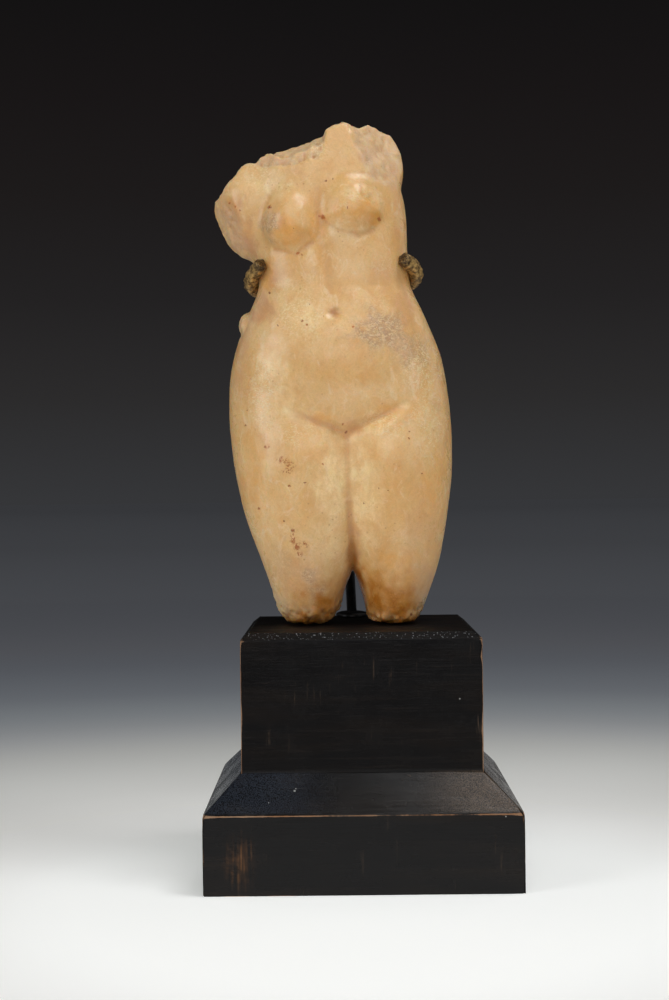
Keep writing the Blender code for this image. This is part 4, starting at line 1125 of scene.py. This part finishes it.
def turnedSolid(name, profile, foot, direction, material, sides=48):
    lean = Vector((0, 0, 1)).rotation_difference(direction)
    turns = [2 * math.pi * i / sides for i in range(sides)]
    shape = bmesh.new()
    rings = []
    for radius, height in profile:
        count = sides if radius else 1
        spots = [Vector((radius * math.cos(a), radius * math.sin(a), height)) for a in turns[:count]]
        rings.append([shape.verts.new(lean @ spot + foot) for spot in spots])
    for lower, upper in zip(rings, rings[1:]):
        for i in range(sides):
            j = (i + 1) % sides
            corners = [ring[k % len(ring)] for ring, k in ((lower, i), (lower, j), (upper, j), (upper, i))]
            shape.faces.new(list(dict.fromkeys(corners)))
    bmesh.ops.recalc_face_normals(shape, faces=shape.faces)
    mesh = meshOf(shape, name)
    mesh.materials.append(material)
    mesh.shade_smooth()
    mesh.set_sharp_from_angle(angle=math.radians(40))
    return finishedObject(name, mesh, material, smooth=False)


def roundedProfile(radius, height, rim):  # a cylinder with eased rims, from its foot to its top
    quarter = [(math.sin(a), math.cos(a)) for a in np.radians((0, 30, 60, 90))]
    low = [(radius - rim + rim * s, rim - rim * c) for s, c in quarter]
    high = [(radius - rim + rim * s, height - rim + rim * c) for s, c in reversed(quarter)]
    return [(0, 0), *low, *high, (0, height)]


def makeMount():
    form = mountForm
    centre, girth, share = cradlePath()
    mesh = bpy.data.meshes.new("cradlePath")
    mesh.from_pydata(centre.tolist(), [(i, i + 1) for i in range(len(centre) - 1)], [])
    writeAttribute(mesh, "girth", girth)
    writeAttribute(mesh, "claw", ease(share, 0.5, 0.75))
    writeAttribute(mesh, "tip", ease(share, 0.955, 0.99))
    bronze, steel = bronzeMaterial(), steelMaterial()
    made = grown(mesh, sweptCradle(), "clawedCradle",
                 {"Sides": 24, "Lump height": 0.0022, "Lumps to a metre": 520.0, "Finish": bronze})
    dress(finishedObject("clawedCradle", made, bronze), "olive_bronze", "waist_cradle")

    middle = Vector(centre[int(np.argmin(share))])
    start = Vector((*form["rodFoot"], form["footZ"]))
    direction = (middle - start).normalized()
    hubFoot = middle - direction * form["hubBelow"]
    profile = roundedProfile(form["hubRadius"], form["hubHeight"], 0.0007)
    dress(turnedSolid("cradleHub", profile, hubFoot, direction, bronze), "olive_bronze")
    profile = roundedProfile(form["rodDiameter"] / 2, (hubFoot - start).length + form["rodInHub"], 0.0003)
    dress(turnedSolid("supportRod", profile, start, direction, steel), "blackened_steel", "support_rod")
    wide, tall, rim = form["footRadius"], form["footHeight"], form["footRim"]
    angles = np.radians((0, 12, 25, 40, 55, 68))
    dome = [(wide * math.cos(a) ** 0.7, rim + (tall - rim) * math.sin(a)) for a in angles]
    profile = [(0, 0), (wide - 0.0002, 0), (wide, 0.0002), *dome, (0, tall)]
    dress(turnedSolid("rodFoot", profile, start, Vector((0, 0, 1)), steel), "blackened_steel", "rod_foot")


makeMount()
print("mount made")


# Stage, light and camera

stageForm = {
    "floorRadius": 40.0,
    "poolMiddle": (0.0, -0.06, 0.0),
    # painted pool of light: the floor's colour grows darker with distance from the middle of the pool
    "paintedFalloff": ((0.0, 0.95), (0.10, 0.95), (0.14, 0.88), (0.23, 0.67), (0.34, 0.51), (0.45, 0.34),
                 (0.60, 0.23), (0.97, 0.12), (1.6, 0.02)),
    # painted light: the glow the floor has of its own, brightest near the middle where it stands in for
    # lamplight, so that it runs into the backdrop
    "glow": ((0.0, (0.30, 0.31, 0.295)), (0.115, (0.30, 0.31, 0.295)), (0.147, (0.26, 0.262, 0.247)),
             (0.19, (0.217, 0.216, 0.198)), (0.289, (0.175, 0.178, 0.162)), (0.35, (0.138, 0.141, 0.130)),
             (0.415, (0.093, 0.100, 0.105)), (0.50, (0.057, 0.069, 0.081)), (0.62, (0.041, 0.050, 0.064)),
             (0.80, (0.040, 0.046, 0.058)), (0.97, (0.050, 0.053, 0.062)), (1.73, (0.055, 0.058, 0.065)),
             (4.0, (0.044, 0.046, 0.051)), (16.0, (0.0355, 0.037, 0.041))),
    # the backdrop, by the sine of the angle above the horizon
    "backdrop": ((0.0, (0.036, 0.037, 0.040)), (0.061, (0.025, 0.024, 0.0245)),
                 (0.122, (0.0168, 0.0155, 0.016)), (0.182, (0.0125, 0.0108, 0.0108)),
                 (0.24, (0.0095, 0.0080, 0.0082)), (0.30, (0.0065, 0.0060, 0.0062)),
                 (1.0, (0.0065, 0.0060, 0.0062))),
    "poolRadius": 1.6,
    "glowReach": 16.0,
}


def rampOf(tree, value, stops):
    node = addNode(tree, "ShaderNodeValToRGB", {"Fac": value})
    steps = node.color_ramp.elements
    while len(steps) < len(stops):
        steps.new(1.0)
    for step, (at, level) in zip(steps, stops):
        step.position = at
        step.color = (*level, 1) if isinstance(level, tuple) else (level, level, level, 1)
    return node.outputs["Color"]


def makeStage():
    form = stageForm
    shape = bmesh.new()
    bmesh.ops.create_circle(shape, cap_ends=True, segments=128, radius=form["floorRadius"])
    mesh = meshOf(shape, "studioFloor")
    made, tree, shader, place = newMaterial("studioFloor", Roughness=0.75, Specular_IOR_Level=0.2,
                                            Emission_Strength=1.0)
    away = vectorOf(tree, "DISTANCE", place, form["poolMiddle"], "Value")
    near = mathOf(tree, "DIVIDE", away, form["poolRadius"])
    paintedPool = [(r / form["poolRadius"], level) for r, level in form["paintedFalloff"]]
    far = mathOf(tree, "POWER", mathOf(tree, "DIVIDE", away, form["glowReach"]), 0.5)
    glow = [(math.sqrt(r / form["glowReach"]), level) for r, level in form["glow"]]
    plugIn(tree, shader, Base_Color=rampOf(tree, near, paintedPool), Emission_Color=rampOf(tree, far, glow))
    finishedObject("studioFloor", mesh, made)
    world = bpy.data.worlds.new("studio")
    bpy.context.scene.world = world
    world.use_nodes = True
    tree = world.node_tree
    up = partsOf(tree, addNode(tree, "ShaderNodeTexCoord").outputs["Generated"])["Z"]
    plugIn(tree, tree.nodes["Background"], Color=rampOf(tree, up, form["backdrop"]))


# Lamps: name, place, width and height, power, what each points at
softLights = (
    ("leftSoftbox", (-0.95, -0.65, 0.45), (0.50, 0.80), 4.5, (0, 0, 0.18)),
    ("rightSoftbox", (0.95, -0.65, 0.42), (0.45, 0.75), 1.5, (0, 0, 0.18)),
    ("topRight", (0.33, -0.15, 1.00), (0.34, 0.50), 3.6, (0, 0, 0.18)),
    ("frontTop", (0.05, -0.80, 0.90), (0.80, 0.40), 2.0, (0, -0.1, 0.1)),
    ("frontFill", (0.0, -1.60, 0.95), (1.20, 0.80), 0.6, (0, 0, 0.18)),
    ("frontLow", (0.10, -1.65, 0.42), (1.40, 0.50), 5.9, (0, 0, 0.15)),
    ("leftBack", (-0.80, 0.35, 0.60), (0.40, 0.60), 0.5, (0, 0, 0.18)),
    ("rightBack", (0.80, 0.35, 0.60), (0.40, 0.60), 0.5, (0, 0, 0.18)),
)


def softLight(name, spot, size, power, target):
    lamp = bpy.data.lights.new(name, "AREA")
    lamp.shape = "RECTANGLE"
    lamp.size, lamp.size_y = size
    lamp.energy = power
    made = placed(name, lamp)
    made.location = spot
    made.rotation_euler = (Vector(target) - Vector(spot)).to_track_quat("-Z", "Y").to_euler()
    made.visible_camera = False


cameraForm = {
    "lens": 58.26,
    "sensor": 36.0,
    "place": (-0.00656, -0.61638, 0.13854),
    "right": (0.999935, 0.004127, -0.010664),
    "up": (0.010653, 0.002559, 0.999940),
    "back": (0.004154, -0.999988, 0.002515),
}


def makeCamera():
    camera = placed("photoCamera", bpy.data.cameras.new("photoCamera"))
    camera.data.lens = cameraForm["lens"]
    camera.data.sensor_width = cameraForm["sensor"]
    camera.data.clip_start = 0.01
    turn = Matrix([cameraForm[axis] for axis in ("right", "up", "back")]).transposed()
    camera.matrix_world = Matrix.Translation(cameraForm["place"]) @ turn.to_4x4()
    bpy.context.scene.camera = camera


makeStage()
for lamp in softLights:
    softLight(*lamp)
makeCamera()
bpy.context.scene.view_settings.view_transform = "Standard"
print("stage, lights and camera set")
